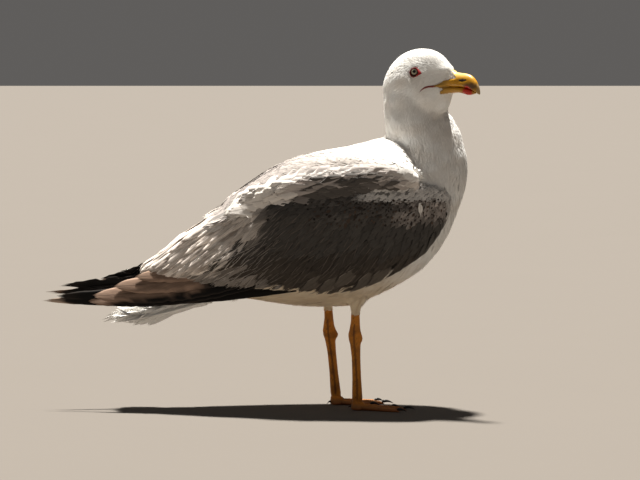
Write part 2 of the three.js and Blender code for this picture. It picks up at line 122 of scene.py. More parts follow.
def flatten(v: Array, normals: Array) -> Array:
    """Vectors laid into the planes whose normals are given, at length one."""
    return unit(v - normals * (v * normals).sum(-1, keepdims=True))


def mix(a: Array, b: Array, share: Array) -> Array:
    """Blends two colours, or rows of colours, by a share for each row."""
    share = np.asarray(share)[..., None]
    return np.asarray(a) * (1 - share) + np.asarray(b) * share


def table(rows: list[tuple[float, ...]], index: int, x: Array) -> Array:
    """Reads one column of a table of stations at x."""
    rows = sorted(rows)
    return np.interp(x, [r[0] for r in rows], [r[index] for r in rows])


def flat_places(x: Array, z: Array) -> Array:
    """Places seen from the side as rows of x, height and nothing across."""
    return np.stack([x, z, np.zeros_like(x)], 1)


def ripple(points: Array, scale: float, seed: int) -> Array:
    """A smooth wandering value from -1 to 1 over space.

    Args:
        points: Positions, one row each.
        scale: Length of one ripple.
        seed: Chooses the pattern.

    Returns:
        One value for each point.
    """
    rng = np.random.default_rng(seed)
    waves = unit(rng.normal(size=(7, 3))) * rng.uniform(0.6, 1.7, (7, 1)) * (2 * math.pi / scale)
    phases = rng.uniform(0, 2 * math.pi, 7)
    return np.sin(points @ waves.T + phases).sum(1) / 3.2


# ---------------------------------------------------------------- the body's axes


@dataclass(frozen=True)
class Axes:
    """Places the body's millimetres in the frame's metres."""

    ahead: float
    across: float

    @classmethod
    def from_frame(cls) -> "Axes":
        """Finds the axes from the shoulder feathers' front end and the trunk's middle."""
        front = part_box("scapulars_right")[1][0] / MM
        low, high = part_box("trunk")
        return cls(front - SHOULDER_FRONT, (low[1] + high[1]) / 2 / MM)

    def world(self, points: Array) -> Array:
        """Body millimetres to frame metres."""
        return (np.asarray(points) + [self.ahead, self.across, 0.0]) * MM

    def body(self, points: Array) -> Array:
        """Frame metres to body millimetres."""
        return np.asarray(points) / MM - [self.ahead, self.across, 0.0]


@dataclass(frozen=True)
class HeadAxes:
    """The turned head's own axes: first ahead along the bill, then left, then up."""

    pivot: float = 66.0
    turn: float = -42.0

    def _matrix(self) -> Array:
        """The turn from the body to the head, as columns."""
        a = math.radians(self.turn)
        return np.array([[math.cos(a), -math.sin(a), 0], [math.sin(a), math.cos(a), 0], [0, 0, 1]])

    def body(self, points: Array) -> Array:
        """Head axes to body axes."""
        return np.asarray(points, float) @ self._matrix().T + [self.pivot, 0, 0]

    def head(self, points: Array) -> Array:
        """Body axes to head axes."""
        return (np.asarray(points, float) - [self.pivot, 0, 0]) @ self._matrix()

    def way(self, vector: Array) -> Array:
        """Turns a direction from head axes to body axes."""
        return np.asarray(vector, float) @ self._matrix().T


HEAD = HeadAxes()
EYE_X, EYE_SIDE, EYE_Z = 16.7, 15.0, 369.3
BILL_ROOT = np.array([60.0, 0.0, 359.0])
BROW = np.array([54.0, 0.0, 372.0])

# Folded wing: x, height of its upper edge, height of its lower edge.
WING = [
    (-235, 152, 149), (-220, 160.5, 149), (-206, 172.5, 147), (-191, 186, 143), (-176, 197, 139.5),
    (-152, 214.5, 138), (-128, 229, 137), (-113, 236, 136.5), (-82, 244, 134.5), (-52, 249, 131.5),
    (-25, 251, 128.5), (-7, 252, 132.5), (20, 252, 141.5), (46, 251, 152.5), (64, 250, 163),
    (79, 249, 177), (90, 246, 191), (101, 241, 205), (107, 234, 222),
]
# Shoulder feathers: x, height of their upper edge, height of their lower edge.
SHOULDER = [
    (-141, 222, 218.5), (-132, 225, 218), (-110, 242, 223), (-71, 265, 235.5), (-39, 274, 238),
    (-17, 277, 239), (20, 278, 243), (37, 274, 243), (53, 267, 242.5), (65, 258, 243.5),
    (72, 251, 247),
]


# ---------------------------------------------------------------- surfaces


class Surface:
    """A closed surface that feathers are laid on, in body millimetres."""

    def __init__(self, mesh: bpy.types.Mesh, axes: Axes) -> None:
        """Reads a mesh.

        Args:
            mesh: The surface, in frame metres.
            axes: Where the body's axes lie.
        """
        self.points, self.normals = read_points(mesh, axes)
        faces = [tuple(p.vertices) for p in mesh.polygons]
        self.corners = np.array([(f + f[-1:])[:4] for f in faces])
        self.tree = BVHTree.FromPolygons(self.points.tolist(), faces)

    def _soft_normals(self, places: Array, index: Array) -> Array:
        """Normals blended over the nearest faces from those of their corners.

        Args:
            places: Places on the surface.
            index: The face that each lies on.

        Returns:
            The normals.
        """
        corners = self.corners[index]
        gaps = np.linalg.norm(self.points[corners] - places[:, None], axis=-1)
        share = 1 / (gaps**2 + 0.05)
        return unit((self.normals[corners] * share[..., None]).sum(1))

    def nearest(self, points: Array) -> tuple[Array, Array]:
        """The surface's nearest places to some points, with their normals.

        Args:
            points: Places in body millimetres.

        Returns:
            The nearest places and their normals.
        """
        hits = [self.tree.find_nearest(p) for p in points.tolist()]
        places = np.array([tuple(h[0]) for h in hits])
        return places, self._soft_normals(places, np.array([h[2] for h in hits]))

    def depth(self, points: Array) -> Array:
        """How far each point lies inside the surface; negative outside."""
        places, normals = self.nearest(points)
        return ((places - points) * normals).sum(1)

    def from_side(
        self, x: Array, z: Array, side: Side, head: bool = False
    ) -> tuple[Array, Array, Array]:
        """Where level lines from one side first meet the surface.

        Args:
            x: Places along the body.
            z: Heights.
            side: The side that the lines come from.
            head: Whether x and the side are the turned head's own.

        Returns:
            The places, their normals, and which lines met the surface.
        """
        start = np.stack([x, np.full(len(x), 200.0 * side.value), z], 1)
        way = np.array([0.0, -side.value, 0.0])
        if head:
            start, way = HEAD.body(start), HEAD.way(way)
        hits = [self.tree.ray_cast(Vector(p), Vector(way)) for p in start]
        met = np.array([h[0] is not None for h in hits])
        places = np.array([tuple(h[0]) if h[0] is not None else (0, 0, 0) for h in hits])
        index = np.array([h[2] if h[2] is not None else 0 for h in hits])
        return places, self._soft_normals(places, index), met

    def scatter(self, spacing: Callable[[Array], Array], seed: int, dense: float = 5.0) -> Array:
        """Spreads points evenly over the surface, no two nearer than their spacing.

        Args:
            spacing: Gives each point's spacing, or zero where nothing grows.
            seed: Seeds the random choice.
            dense: How many tries are made for each point that would fit.

        Returns:
            The chosen places.
        """
        rng = np.random.default_rng(seed)
        quad = self.points[self.corners]
        area = 0.5 * np.linalg.norm(
            np.cross(quad[:, 2] - quad[:, 0], quad[:, 3] - quad[:, 1]), axis=1
        )
        gap = spacing(quad.mean(1))
        want = np.where(gap > 0, area / np.maximum(gap, 1e-3) ** 2, 0)
        picks = rng.choice(len(area), int(want.sum() * dense), p=want / want.sum())
        s, t = rng.random((2, len(picks), 1))
        q = quad[picks]
        tries = (q[:, 0] * (1 - s) + q[:, 1] * s) * (1 - t) + (q[:, 3] * (1 - s) + q[:, 2] * s) * t
        gaps = spacing(tries)
        tries, gaps = tries[gaps > 0], gaps[gaps > 0]
        return tries[thin_out(tries, gaps)]


def thin_out(points: Array, gaps: Array) -> list[int]:
    """Keeps points in order, dropping any nearer than its gap to one already kept.

    Args:
        points: Candidate places.
        gaps: The least distance for each.

    Returns:
        The kept points' indices.
    """
    cell = float(gaps.max())
    keys = np.floor(points / cell).astype(int)
    steps = [(i, j, k) for i in (-1, 0, 1) for j in (-1, 0, 1) for k in (-1, 0, 1)]
    grid: dict[tuple[int, int, int], list[tuple[float, float, float]]] = {}
    kept = []
    for index, ((i, j, k), p, gap) in enumerate(zip(keys.tolist(), points.tolist(), gaps.tolist())):
        reach = gap * gap
        near = (q for a, b, c in steps for q in grid.get((i + a, j + b, k + c), ()))
        if any((p[0] - q[0]) ** 2 + (p[1] - q[1]) ** 2 + (p[2] - q[2]) ** 2 < reach for q in near):
            continue
        grid.setdefault((i, j, k), []).append(tuple(p))
        kept.append(index)
    return kept


# ---------------------------------------------------------------- pieces


def add_piece(
    name: str, mesh: bpy.types.Mesh, slot: Slot, *materials: bpy.types.Material
) -> bpy.types.Object:
    """Makes a finished mesh a piece of the model.

    Args:
        name: The piece's name.
        mesh: Its mesh, in frame metres.
        slot: The record's slot that its finish stands for; not used.
        *materials: Its materials, in order.

    Returns:
        The new object.
    """
    mesh.name = name
    for material in materials:
        mesh.materials.append(material)
    piece = bpy.data.objects.new(name, mesh)
    bpy.context.scene.collection.objects.link(piece)
    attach(piece, BODY)
    LOG.info("%s: %d faces", name, len(mesh.polygons))
    return piece


def relax(bm: bmesh.types.BMesh, verts: list[bmesh.types.BMVert], rounds: int) -> None:
    """Smooths some points of a form, round after round.

    Args:
        bm: The form.
        verts: Its points to smooth.
        rounds: How many times.
    """
    every = {"use_axis_x": True, "use_axis_y": True, "use_axis_z": True}
    for _ in range(rounds):
        bmesh.ops.smooth_vert(bm, verts=verts, factor=0.5, **every)


def smooth_shaded(bm: bmesh.types.BMesh, name: str) -> bpy.types.Mesh:
    """Turns a bmesh into a smooth-shaded mesh and frees it.

    Args:
        bm: The form.
        name: The mesh's name.

    Returns:
        The mesh.
    """
    for face in bm.faces:
        face.smooth = True
    mesh = bpy.data.meshes.new(name)
    bm.to_mesh(mesh)
    bm.free()
    return mesh


def frame_copy(nodes: list[str]) -> bmesh.types.BMesh:
    """Copies frame nodes into one bmesh, with each node's loose triangles merged.

    Args:
        nodes: The frame nodes' names.

    Returns:
        The joined form.
    """
    whole = bmesh.new()
    for node in nodes:
        whole.from_mesh(bpy.data.objects[FRAME_NODES[node]].data)
    bmesh.ops.remove_doubles(whole, verts=whole.verts, dist=0.01 * MM)
    return whole


FRAME_NODES: dict[str, str] = {}


def remeshed(
    nodes: list[str], voxel: float, rounds: int, more: bmesh.types.BMesh | None = None
) -> bpy.types.Mesh:
    """Joins frame nodes into one even, smoothed surface.

    Args:
        nodes: The nodes to join.
        voxel: Size of the surface's faces, in millimetres.
        rounds: How many times it is smoothed.
        more: A further closed form to join with them, which is used up.

    Returns:
        The joined surface, in frame metres.
    """
    joined = frame_copy(nodes)
    if more:
        joined.from_mesh(smooth_shaded(more, "more"))
    source = smooth_shaded(joined, "joined")
    carrier = bpy.data.objects.new("joined", source)
    bpy.context.scene.collection.objects.link(carrier)
    modifier = carrier.modifiers.new("even", "REMESH")
    modifier.mode = "VOXEL"
    modifier.voxel_size = voxel * MM
    graph = bpy.context.evaluated_depsgraph_get()
    mesh = bpy.data.meshes.new_from_object(carrier.evaluated_get(graph))
    bpy.data.objects.remove(carrier)
    bm = bmesh.new()
    bm.from_mesh(mesh)
    relax(bm, bm.verts, rounds)
    bm.to_mesh(mesh)
    bm.free()
    return mesh


def read_points(mesh: bpy.types.Mesh, axes: Axes) -> tuple[Array, Array]:
    """A mesh's points in body millimetres, and their normals.

    Args:
        mesh: The mesh.
        axes: The part's axes.

    Returns:
        Points and normals, one row each.
    """
    flat = np.empty(len(mesh.vertices) * 3)
    mesh.vertices.foreach_get("co", flat)
    points = axes.body(flat.reshape(-1, 3))
    mesh.vertex_normals.foreach_get("vector", flat)
    return points, flat.reshape(-1, 3).copy()


def write_points(mesh: bpy.types.Mesh, points: Array, axes: Axes) -> None:
    """Moves a mesh's points to body millimetres."""
    mesh.vertices.foreach_set("co", axes.world(points).ravel())
    mesh.update()


def paint(mesh: bpy.types.Mesh, name: str, values: Array) -> None:
    """Stores a colour for each point of a mesh.

    Args:
        mesh: The mesh.
        name: The attribute's name.
        values: One row of three or four numbers for each point.
    """
    rows = np.ones((len(mesh.vertices), 4), np.float32)
    rows[:, : values.shape[1]] = values
    layer = mesh.color_attributes.new(name, "FLOAT_COLOR", "POINT")
    layer.data.foreach_set("color", rows.ravel())


def loft(
    around: int, along: int, place: Callable[[float, float], Array], axes: Axes
) -> bmesh.types.BMesh:
    """A closed loft made by reshaping a ball.

    Args:
        around: Faces round it.
        along: Faces along it.
        place: Gives the point at a share of the length and an angle round it, in body millimetres.
        axes: Where the body's axes lie.

    Returns:
        The closed form, in frame metres.
    """
    bm = bmesh.new()
    bmesh.ops.create_uvsphere(bm, u_segments=around, v_segments=along, radius=1)
    for vert in bm.verts:
        share = math.acos(max(-1.0, min(1.0, -vert.co.z))) / math.pi
        angle = math.atan2(vert.co.y, vert.co.x)
        vert.co = Vector(axes.world(place(share, angle)))
    bmesh.ops.remove_doubles(bm, verts=bm.verts, dist=1e-4 * MM)
    bm.normal_update()
    bmesh.ops.recalc_face_normals(bm, faces=bm.faces)
    return bm


# ---------------------------------------------------------------- materials


class Graph:
    """Short ways to make and join shader nodes."""

    def __init__(self, tree: bpy.types.NodeTree) -> None:
        """Takes the node tree to build in."""
        self.tree = tree

    def add(self, kind: str, **settings: object) -> bpy.types.Node:
        """Adds a node and sets its properties.

        Args:
            kind: The node's type.
            **settings: Its properties by name.

        Returns:
            The node.
        """
        node = self.tree.nodes.new(kind)
        for key, value in settings.items():
            setattr(node, key, value)
        return node

    def link(self, output: bpy.types.NodeSocket, socket: bpy.types.NodeSocket) -> None:
        """Joins an output to an input."""
        self.tree.links.new(output, socket)

    def feed(self, socket: bpy.types.NodeSocket, value: object) -> None:
        """Joins an output to an input, or sets a plain value on it.

        Args:
            socket: The input.
            value: An output or a plain value.
        """
        if isinstance(value, bpy.types.NodeSocket):
            self.link(value, socket)
        else:
            socket.default_value = value

    def math(self, operation: str, *values: object, clamp: bool = False) -> bpy.types.NodeSocket:
        """A sum of one kind over sockets and numbers.

        Args:
            operation: The kind of sum.
            *values: What it works on.
            clamp: Whether it stays from 0 to 1.

        Returns:
            The result.
        """
        node = self.add("ShaderNodeMath", operation=operation, use_clamp=clamp)
        for socket, value in zip(node.inputs, values):
            self.feed(socket, value)
        return node.outputs[0]

    def step(self, value: object, low: float, high: float) -> bpy.types.NodeSocket:
        """A soft step from 0 at low to 1 at high.

        Args:
            value: What is stepped.
            low: Where it starts.
            high: Where it ends.

        Returns:
            The step, from 0 to 1.
        """
        node = self.add("ShaderNodeMapRange", interpolation_type="SMOOTHSTEP")
        self.feed(node.inputs["Value"], value)
        node.inputs["From Min"].default_value = low
        node.inputs["From Max"].default_value = high
        return node.outputs[0]

    def blend(self, share: object, a: object, b: object, how: str = "MIX") -> bpy.types.NodeSocket:
        """Mixes two colours by a share.

        Args:
            share: How much of the second.
            a: First colour.
            b: Second colour.
            how: Blend mode.

        Returns:
            The mixed colour.
        """
        node = self.add("ShaderNodeMix", data_type="RGBA", blend_type=how)
        self.feed(node.inputs[0], share)
        self.feed(node.inputs[6], a)
        self.feed(node.inputs[7], b)
        return node.outputs[2]

    def noise(
        self, vector: object, scale: float, detail: float = 3.0, rough: float = 0.55
    ) -> bpy.types.NodeSocket:
        """A noise value between 0 and 1.

        Args:
            vector: Where.
            scale: How fine.
            detail: Layers of detail.
            rough: Their strength.

        Returns:
            The value.
        """
        node = self.add("ShaderNodeTexNoise")
        if vector is not None:
            self.feed(node.inputs["Vector"], vector)
        node.inputs["Scale"].default_value = scale
        node.inputs["Detail"].default_value = detail
        node.inputs["Roughness"].default_value = rough
        return node.outputs["Fac"]

    def vector(self, x: object, y: object, z: object) -> bpy.types.NodeSocket:
        """Three values as one vector.

        Args:
            x: First value.
            y: Second value.
            z: Third value.

        Returns:
            The vector.
        """
        node = self.add("ShaderNodeCombineXYZ")
        for socket, value in zip(node.inputs, (x, y, z)):
            self.feed(socket, value)
        return node.outputs[0]

    def shaded(self, colour: object, grain: object, strength: object) -> bpy.types.NodeSocket:
        """A colour made lighter and darker by a grain that wanders about a half."""
        shade = self.math("MULTIPLY_ADD", self.math("SUBTRACT", grain, 0.5), strength, 1.0)
        return self.blend(1.0, colour, self.vector(shade, shade, shade), "MULTIPLY")

    def object_place(self) -> bpy.types.NodeSocket:
        """The place in object space."""
        return self.add("ShaderNodeTexCoord").outputs["Object"]

    def tint(self, name: str = "tint") -> bpy.types.NodeSocket:
        """A colour stored with the mesh."""
        return self.add("ShaderNodeAttribute", attribute_name=name).outputs["Color"]

    def map_parts(self, name: str) -> tuple[bpy.types.NodeSocket, bpy.types.NodeSocket]:
        """The two numbers of one of the piece's own maps.

        Args:
            name: The map's name.

        Returns:
            Both numbers.
        """
        split = self.add("ShaderNodeSeparateXYZ")
        self.link(self.add("ShaderNodeUVMap", uv_map=name).outputs[0], split.inputs[0])
        return split.outputs[0], split.outputs[1]

    def finish(self, shader: bpy.types.Node, colour: object, **values: float) -> None:
        """Sets a Principled shader's colour, and its plain values by name with _ for a space.

        Args:
            shader: The shader.
            colour: Its colour.
            **values: Plain values by name.
        """
        self.feed(shader.inputs["Base Color"], colour)
        for name, value in values.items():
            shader.inputs[name.replace("_", " ")].default_value = value

    def bump(
        self, shader: bpy.types.Node, height: bpy.types.NodeSocket, strength: float, rise: float
    ) -> None:
        """Lets a height turn a shader's normal, for a rise in millimetres.

        Args:
            shader: The shader.
            height: The height.
            strength: How strong.
            rise: Millimetres.
        """
        bump = self.add("ShaderNodeBump")
        bump.inputs["Strength"].default_value = strength
        bump.inputs["Distance"].default_value = rise * MM
        self.link(height, bump.inputs["Height"])
        self.link(bump.outputs[0], shader.inputs["Normal"])


def rgb(colour: tuple[float, float, float]) -> tuple[float, float, float, float]:
    """A colour with full alpha."""
    return (*colour, 1.0)


def node_group(
    name: str, inputs: dict[str, str], outputs: dict[str, str]
) -> tuple[bpy.types.NodeTree, Graph, dict, dict]:
    """Starts a shader node group with named sockets.

    Args:
        name: The group's name.
        inputs: Socket names and their kinds, without the word NodeSocket.
        outputs: The same for what it puts out.

    Returns:
        The tree, its graph, its inputs by name and its output sockets by name.
    """
    tree = bpy.data.node_groups.new(name, "ShaderNodeTree")
    for title, kind in inputs.items():
        tree.interface.new_socket(title, in_out="INPUT", socket_type=f"NodeSocket{kind}")
    for title, kind in outputs.items():
        tree.interface.new_socket(title, in_out="OUTPUT", socket_type=f"NodeSocket{kind}")
    graph = Graph(tree)
    entry = graph.add("NodeGroupInput")
    leave = graph.add("NodeGroupOutput")
    return tree, graph, {s.name: s for s in entry.outputs}, {s.name: s for s in leave.inputs}


def barb_group() -> bpy.types.NodeTree:
    """The barbs, shaft, dark middle and pale fringe of one vane, from its own map.

    Returns:
        The node group.
    """
    tree, g, given, out = node_group(
        "vane_barbs",
        {
            "Vane": "Vector", "Tint": "Color", "Marks": "Color", "Dark": "Color", "Pale": "Color",
            "Barbs": "Float"
        },
        {"Color": "Color", "Height": "Float"},
    )
    vane = g.add("ShaderNodeSeparateXYZ")
    g.link(given["Vane"], vane.inputs[0])
    across, along = vane.outputs[0], vane.outputs[1]
    marks = g.add("ShaderNodeSeparateColor")
    g.link(given["Marks"], marks.inputs[0])
    dark_share, fringe_share, seed = marks.outputs[0], marks.outputs[1], marks.outputs[2]
    out_from_shaft = g.math("ABSOLUTE", g.math("MULTIPLY_ADD", across, 2.0, -1.0))
    offset = g.math("MULTIPLY", seed, 37.0)
    swept = g.math("SUBTRACT", along, g.math("MULTIPLY", out_from_shaft, 0.22))
    fine = g.noise(
        g.vector(g.math("MULTIPLY", out_from_shaft, 1.5), g.math("MULTIPLY", swept, 46.0), offset),
        1.0, 2.0,
    )
    clump = g.noise(
        g.vector(g.math("MULTIPLY", out_from_shaft, 2.0), g.math("MULTIPLY", swept, 11.0), offset),
        1.0, 2.0,
    )
    barbs = g.math("ADD", g.math("MULTIPLY", fine, 0.6), g.math("MULTIPLY", clump, 0.4))
    blot = g.noise(
        g.vector(g.math("MULTIPLY", across, 3.0), g.math("MULTIPLY", along, 3.5), offset), 1.0, 3.0
    )
    edge = g.math("MAXIMUM", out_from_shaft, g.step(along, 0.55, 1.02))
    inner = g.math("ADD", g.math("MULTIPLY", edge, 0.75), g.math("MULTIPLY", blot, 0.5))
    middle = g.math("SUBTRACT", 1.0, g.step(inner, 0.62, 0.86))
    middle = g.math("MULTIPLY", middle, g.step(along, 0.2, 0.5))
    middle = g.math("MULTIPLY", middle, dark_share)
    rim = g.math("ADD", edge, g.math("MULTIPLY_ADD", barbs, 0.3, -0.15))
    fringe = g.math("MULTIPLY", g.step(rim, 0.8, 0.97), fringe_share)
    shaft = g.math("SUBTRACT", 1.0, g.step(out_from_shaft, 0.02, 0.09))
    colour = g.shaded(given["Tint"], barbs, given["Barbs"])
    colour = g.blend(middle, colour, given["Dark"])
    colour = g.blend(fringe, colour, given["Pale"])
    colour = g.blend(g.math("MULTIPLY", shaft, 0.35), colour, given["Dark"])
    g.link(colour, out["Color"])
    g.link(g.math("ADD", barbs, g.math("MULTIPLY", shaft, 0.5)), out["Height"])
    return tree


def mottle_group() -> bpy.types.NodeTree:
    """Uneven tone over a surface, from two sizes of noise in object space.

    Returns:
        The node group.
    """
    tree, g, given, out = node_group(
        "mottle",
        {
            "Place": "Vector", "Color": "Color", "Coarse": "Float", "Fine": "Float",
            "Strength": "Float"
        },
        {"Color": "Color", "Height": "Float"},
    )

    def noise(scale: bpy.types.NodeSocket) -> bpy.types.NodeSocket:
        """Noise at a scale, on the same vector.

        Args:
            scale: How fine.

        Returns:
            The value.
        """
        node = g.add("ShaderNodeTexNoise")
        g.link(given["Place"], node.inputs["Vector"])
        g.link(scale, node.inputs["Scale"])
        node.inputs["Detail"].default_value = 4.0
        return node.outputs["Fac"]

    both = g.math(
        "ADD", g.math("MULTIPLY", noise(given["Coarse"]), 0.6),
        g.math("MULTIPLY", noise(given["Fine"]), 0.4),
    )
    g.link(g.shaded(given["Color"], both, given["Strength"]), out["Color"])
    g.link(both, out["Height"])
    return tree


class Groups:
    """The node groups that several finishes share, each made once."""

    barbs: bpy.types.NodeTree
    mottle: bpy.types.NodeTree

    @classmethod
    def make(cls) -> None:
        """Builds the groups."""
        cls.barbs = barb_group()
        cls.mottle = mottle_group()


def new_material(name: str) -> tuple[bpy.types.Material, Graph, bpy.types.Node]:
    """Starts a material.

    Args:
        name: Its name.

    Returns:
        The material, its graph and its Principled shader.
    """
    material = bpy.data.materials.new(name)
    material.use_nodes = True
    graph = Graph(material.node_tree)
    return material, graph, material.node_tree.nodes["Principled BSDF"]


def use_group(g: Graph, tree: bpy.types.NodeTree, **values: object) -> bpy.types.Node:
    """Places a node group and feeds its inputs by name.

    Args:
        g: The graph it joins.
        tree: The group.
        **values: Its inputs by name.

    Returns:
        The group node.
    """
    node = g.add("ShaderNodeGroup", node_tree=tree)
    for name, value in values.items():
        g.feed(node.inputs[name], value)
    return node


@dataclass(frozen=True)
class FeatherFinish:
    """The finish of a coat piece: tint and marks come from each feather."""

    name: str
    dark: tuple[float, float, float] = (0.03, 0.022, 0.018)
    pale: tuple[float, float, float] = (0.62, 0.57, 0.53)
    barbs: float = 0.35
    roughness: float = 0.75
    sheen: float = 0.0
    relief: float = 0.12

    def material(self) -> bpy.types.Material:
        """Makes the material.

        Returns:
            The material.
        """
        material, g, shader = new_material(self.name)
        vane = g.add("ShaderNodeUVMap", uv_map="vane").outputs[0]
        barbs = use_group(
            g, Groups.barbs, Vane=vane, Tint=g.tint(), Marks=g.tint("marks"),
            Dark=rgb(self.dark), Pale=rgb(self.pale), Barbs=self.barbs,
        )
        g.bump(shader, barbs.outputs["Height"], self.relief, 0.3)
        g.finish(
            shader, barbs.outputs["Color"], Roughness=self.roughness, Specular_IOR_Level=0.25,
            Sheen_Weight=self.sheen, Sheen_Roughness=0.5,
        )
        return material


class Relief(Enum):
    """What a mottled finish's small relief follows."""

    NONE = "none"
    GRAIN = "grain"
    SCALES = "scales"


@dataclass(frozen=True)
class MottledFinish:
    """A finish of uneven tone for skin, horn or the floor; without a colour it takes the tint."""

    name: str
    coarse: float
    fine: float
    strength: float
    roughness: float
    colour: tuple[float, float, float] | None = None
    specular: float = 0.5
    relief: Relief = Relief.NONE
    relief_strength: float = 1.0
    relief_rise: float = 0.15
    scale_density: float = 900.0

    def material(self) -> bpy.types.Material:
        """Makes the material.

        Returns:
            The material.
        """
        material, g, shader = new_material(self.name)
        place = g.object_place()
        mottle = use_group(
            g, Groups.mottle, Place=place, Color=rgb(self.colour) if self.colour else g.tint(),
            Coarse=self.coarse, Fine=self.fine, Strength=self.strength,
        )
        colour, height = mottle.outputs["Color"], mottle.outputs["Height"]
        g.finish(shader, colour, Roughness=self.roughness, Specular_IOR_Level=self.specular)
        if self.relief is Relief.SCALES:
            cells = g.add("ShaderNodeTexVoronoi", feature="DISTANCE_TO_EDGE")
            g.link(place, cells.inputs["Vector"])
            cells.inputs["Scale"].default_value = self.scale_density
            height = g.step(cells.outputs["Distance"], 0.0, 0.2)
        if self.relief is not Relief.NONE:
            g.bump(shader, height, self.relief_strength, self.relief_rise)
        return material


# ---------------------------------------------------------------- feathers


@dataclass(frozen=True)
class Pattern:
    """One feather's net, flat: points across, along and through, its faces, and their corners."""

    points: Array
    loops: Array
    starts: Array


@dataclass(frozen=True)
class Vane:
    """The shape that the feathers of a tract share.

    Widths are shares of the feather's half width, and lengths shares of its length.
    """

    lanes: int = 3
    rows: int = 2
    root: float = 0.6
    widest: float = 0.5
    tip: float = 0.6
    round_tip: float = 0.1
    ragged: float = 0.12
    cup: float = 0.2
    frayed: bool = True
    thickness: float = 0.0
    worn: float = 0.0

    def pattern(self) -> Pattern:
        """Builds the net from a grid, splitting its tip into points and giving it a thickness."""
        bm = bmesh.new()
        bmesh.ops.create_grid(bm, x_segments=self.lanes, y_segments=self.rows, size=0.5)
        last_row = 0.5 - 1 / self.rows - 1e-4
        if self.frayed:
            self._fray(bm, last_row)
        if self.thickness:
            made = bmesh.ops.extrude_face_region(bm, geom=bm.faces[:], use_keep_orig=True)
            under = [v for v in made["geom"] if isinstance(v, bmesh.types.BMVert)]
            bmesh.ops.translate(bm, verts=under, vec=(0, 0, -1))
            bmesh.ops.recalc_face_normals(bm, faces=bm.faces)
        bm.verts.index_update()
        points = np.array([tuple(v.co) for v in bm.verts])
        corners = [[v.index for v in reversed(f.verts)] for f in bm.faces]
        bm.free()
        starts = np.cumsum([0] + [len(c) for c in corners[:-1]])
        return Pattern(points, np.array([i for c in corners for i in c]), starts)

    def _fray(self, bm: bmesh.types.BMesh, last_row: float) -> None:
        """Parts the last row's lanes and draws each to a point.

        Args:
            bm: The flat net.
            last_row: The last row's place along it.
        """
        inner = [
            e for e in bm.edges
            if abs(e.verts[0].co.x - e.verts[1].co.x) < 1e-5
            and min(v.co.y for v in e.verts) > last_row
            and abs(e.verts[0].co.x) < 0.499
        ]
        if inner:
            bmesh.ops.split_edges(bm, edges=inner)
        for face in [f for f in bm.faces if min(v.co.y for v in f.verts) > last_row]:
            ends = [v for v in face.verts if v.co.y > 0.499]
            middle = (ends[0].co + ends[1].co) / 2
            bmesh.ops.pointmerge(bm, verts=ends, merge_co=middle)

    def width(self, t: Array) -> Array:
        """The half width at a share of the length.

        Args:
            t: Share of the length.

        Returns:
            The share of the full half width.
        """
        rise = self.root + (1 - self.root) * np.sin(np.pi / 2 * np.clip(t / self.widest, 0, 1))
        past = np.clip((t - self.widest) / (1 - self.widest), 0, 1)
        return rise * np.sqrt(1 - past**2 * (1 - self.tip**2))


@dataclass
class Plumes:
    """The feathers of one piece, a row for each: where they grow and how they look."""

    roots: Array
    normals: Array
    ways: Array
    length: Array
    half_width: Array
    root_height: Array
    tip_height: Array
    tint: Array
    marks: Array
    place: Array

    def kept(self, keep: Array) -> "Plumes":
        """Only the chosen feathers."""
        return Plumes(*(getattr(self, name)[keep] for name in self.__dataclass_fields__))

    def spines(
        self, surface: Surface, steps: int, field: Field | None, follow: float
    ) -> tuple[Array, Array]:
        """Runs each feather's line over the surface.

        Args:
            surface: What the feathers lie on.
            steps: How many lengths each line has.
            field: Steers the line as it goes; without it the line runs straight on.
            follow: How closely it keeps to the surface, from 0 to 1.

        Returns:
            The lines' points and normals, for each feather and step.
        """
        points, normals = [self.roots], [self.normals]
        way = flatten(self.ways, self.normals)
        stride = (self.length / steps)[:, None]
        for _ in range(steps):
            ahead = points[-1] + way * stride
            near, normal = surface.nearest(ahead)
            points.append(ahead * (1 - follow) + near * follow)
            normals.append(unit(normals[-1] * (1 - follow) + normal * follow))
            fresh = field(points[-1], normals[-1]) if field else way
            way = flatten(way * 0.5 + fresh * 0.5 if field else fresh, normals[-1])
        return np.stack(points, 1), np.stack(normals, 1)


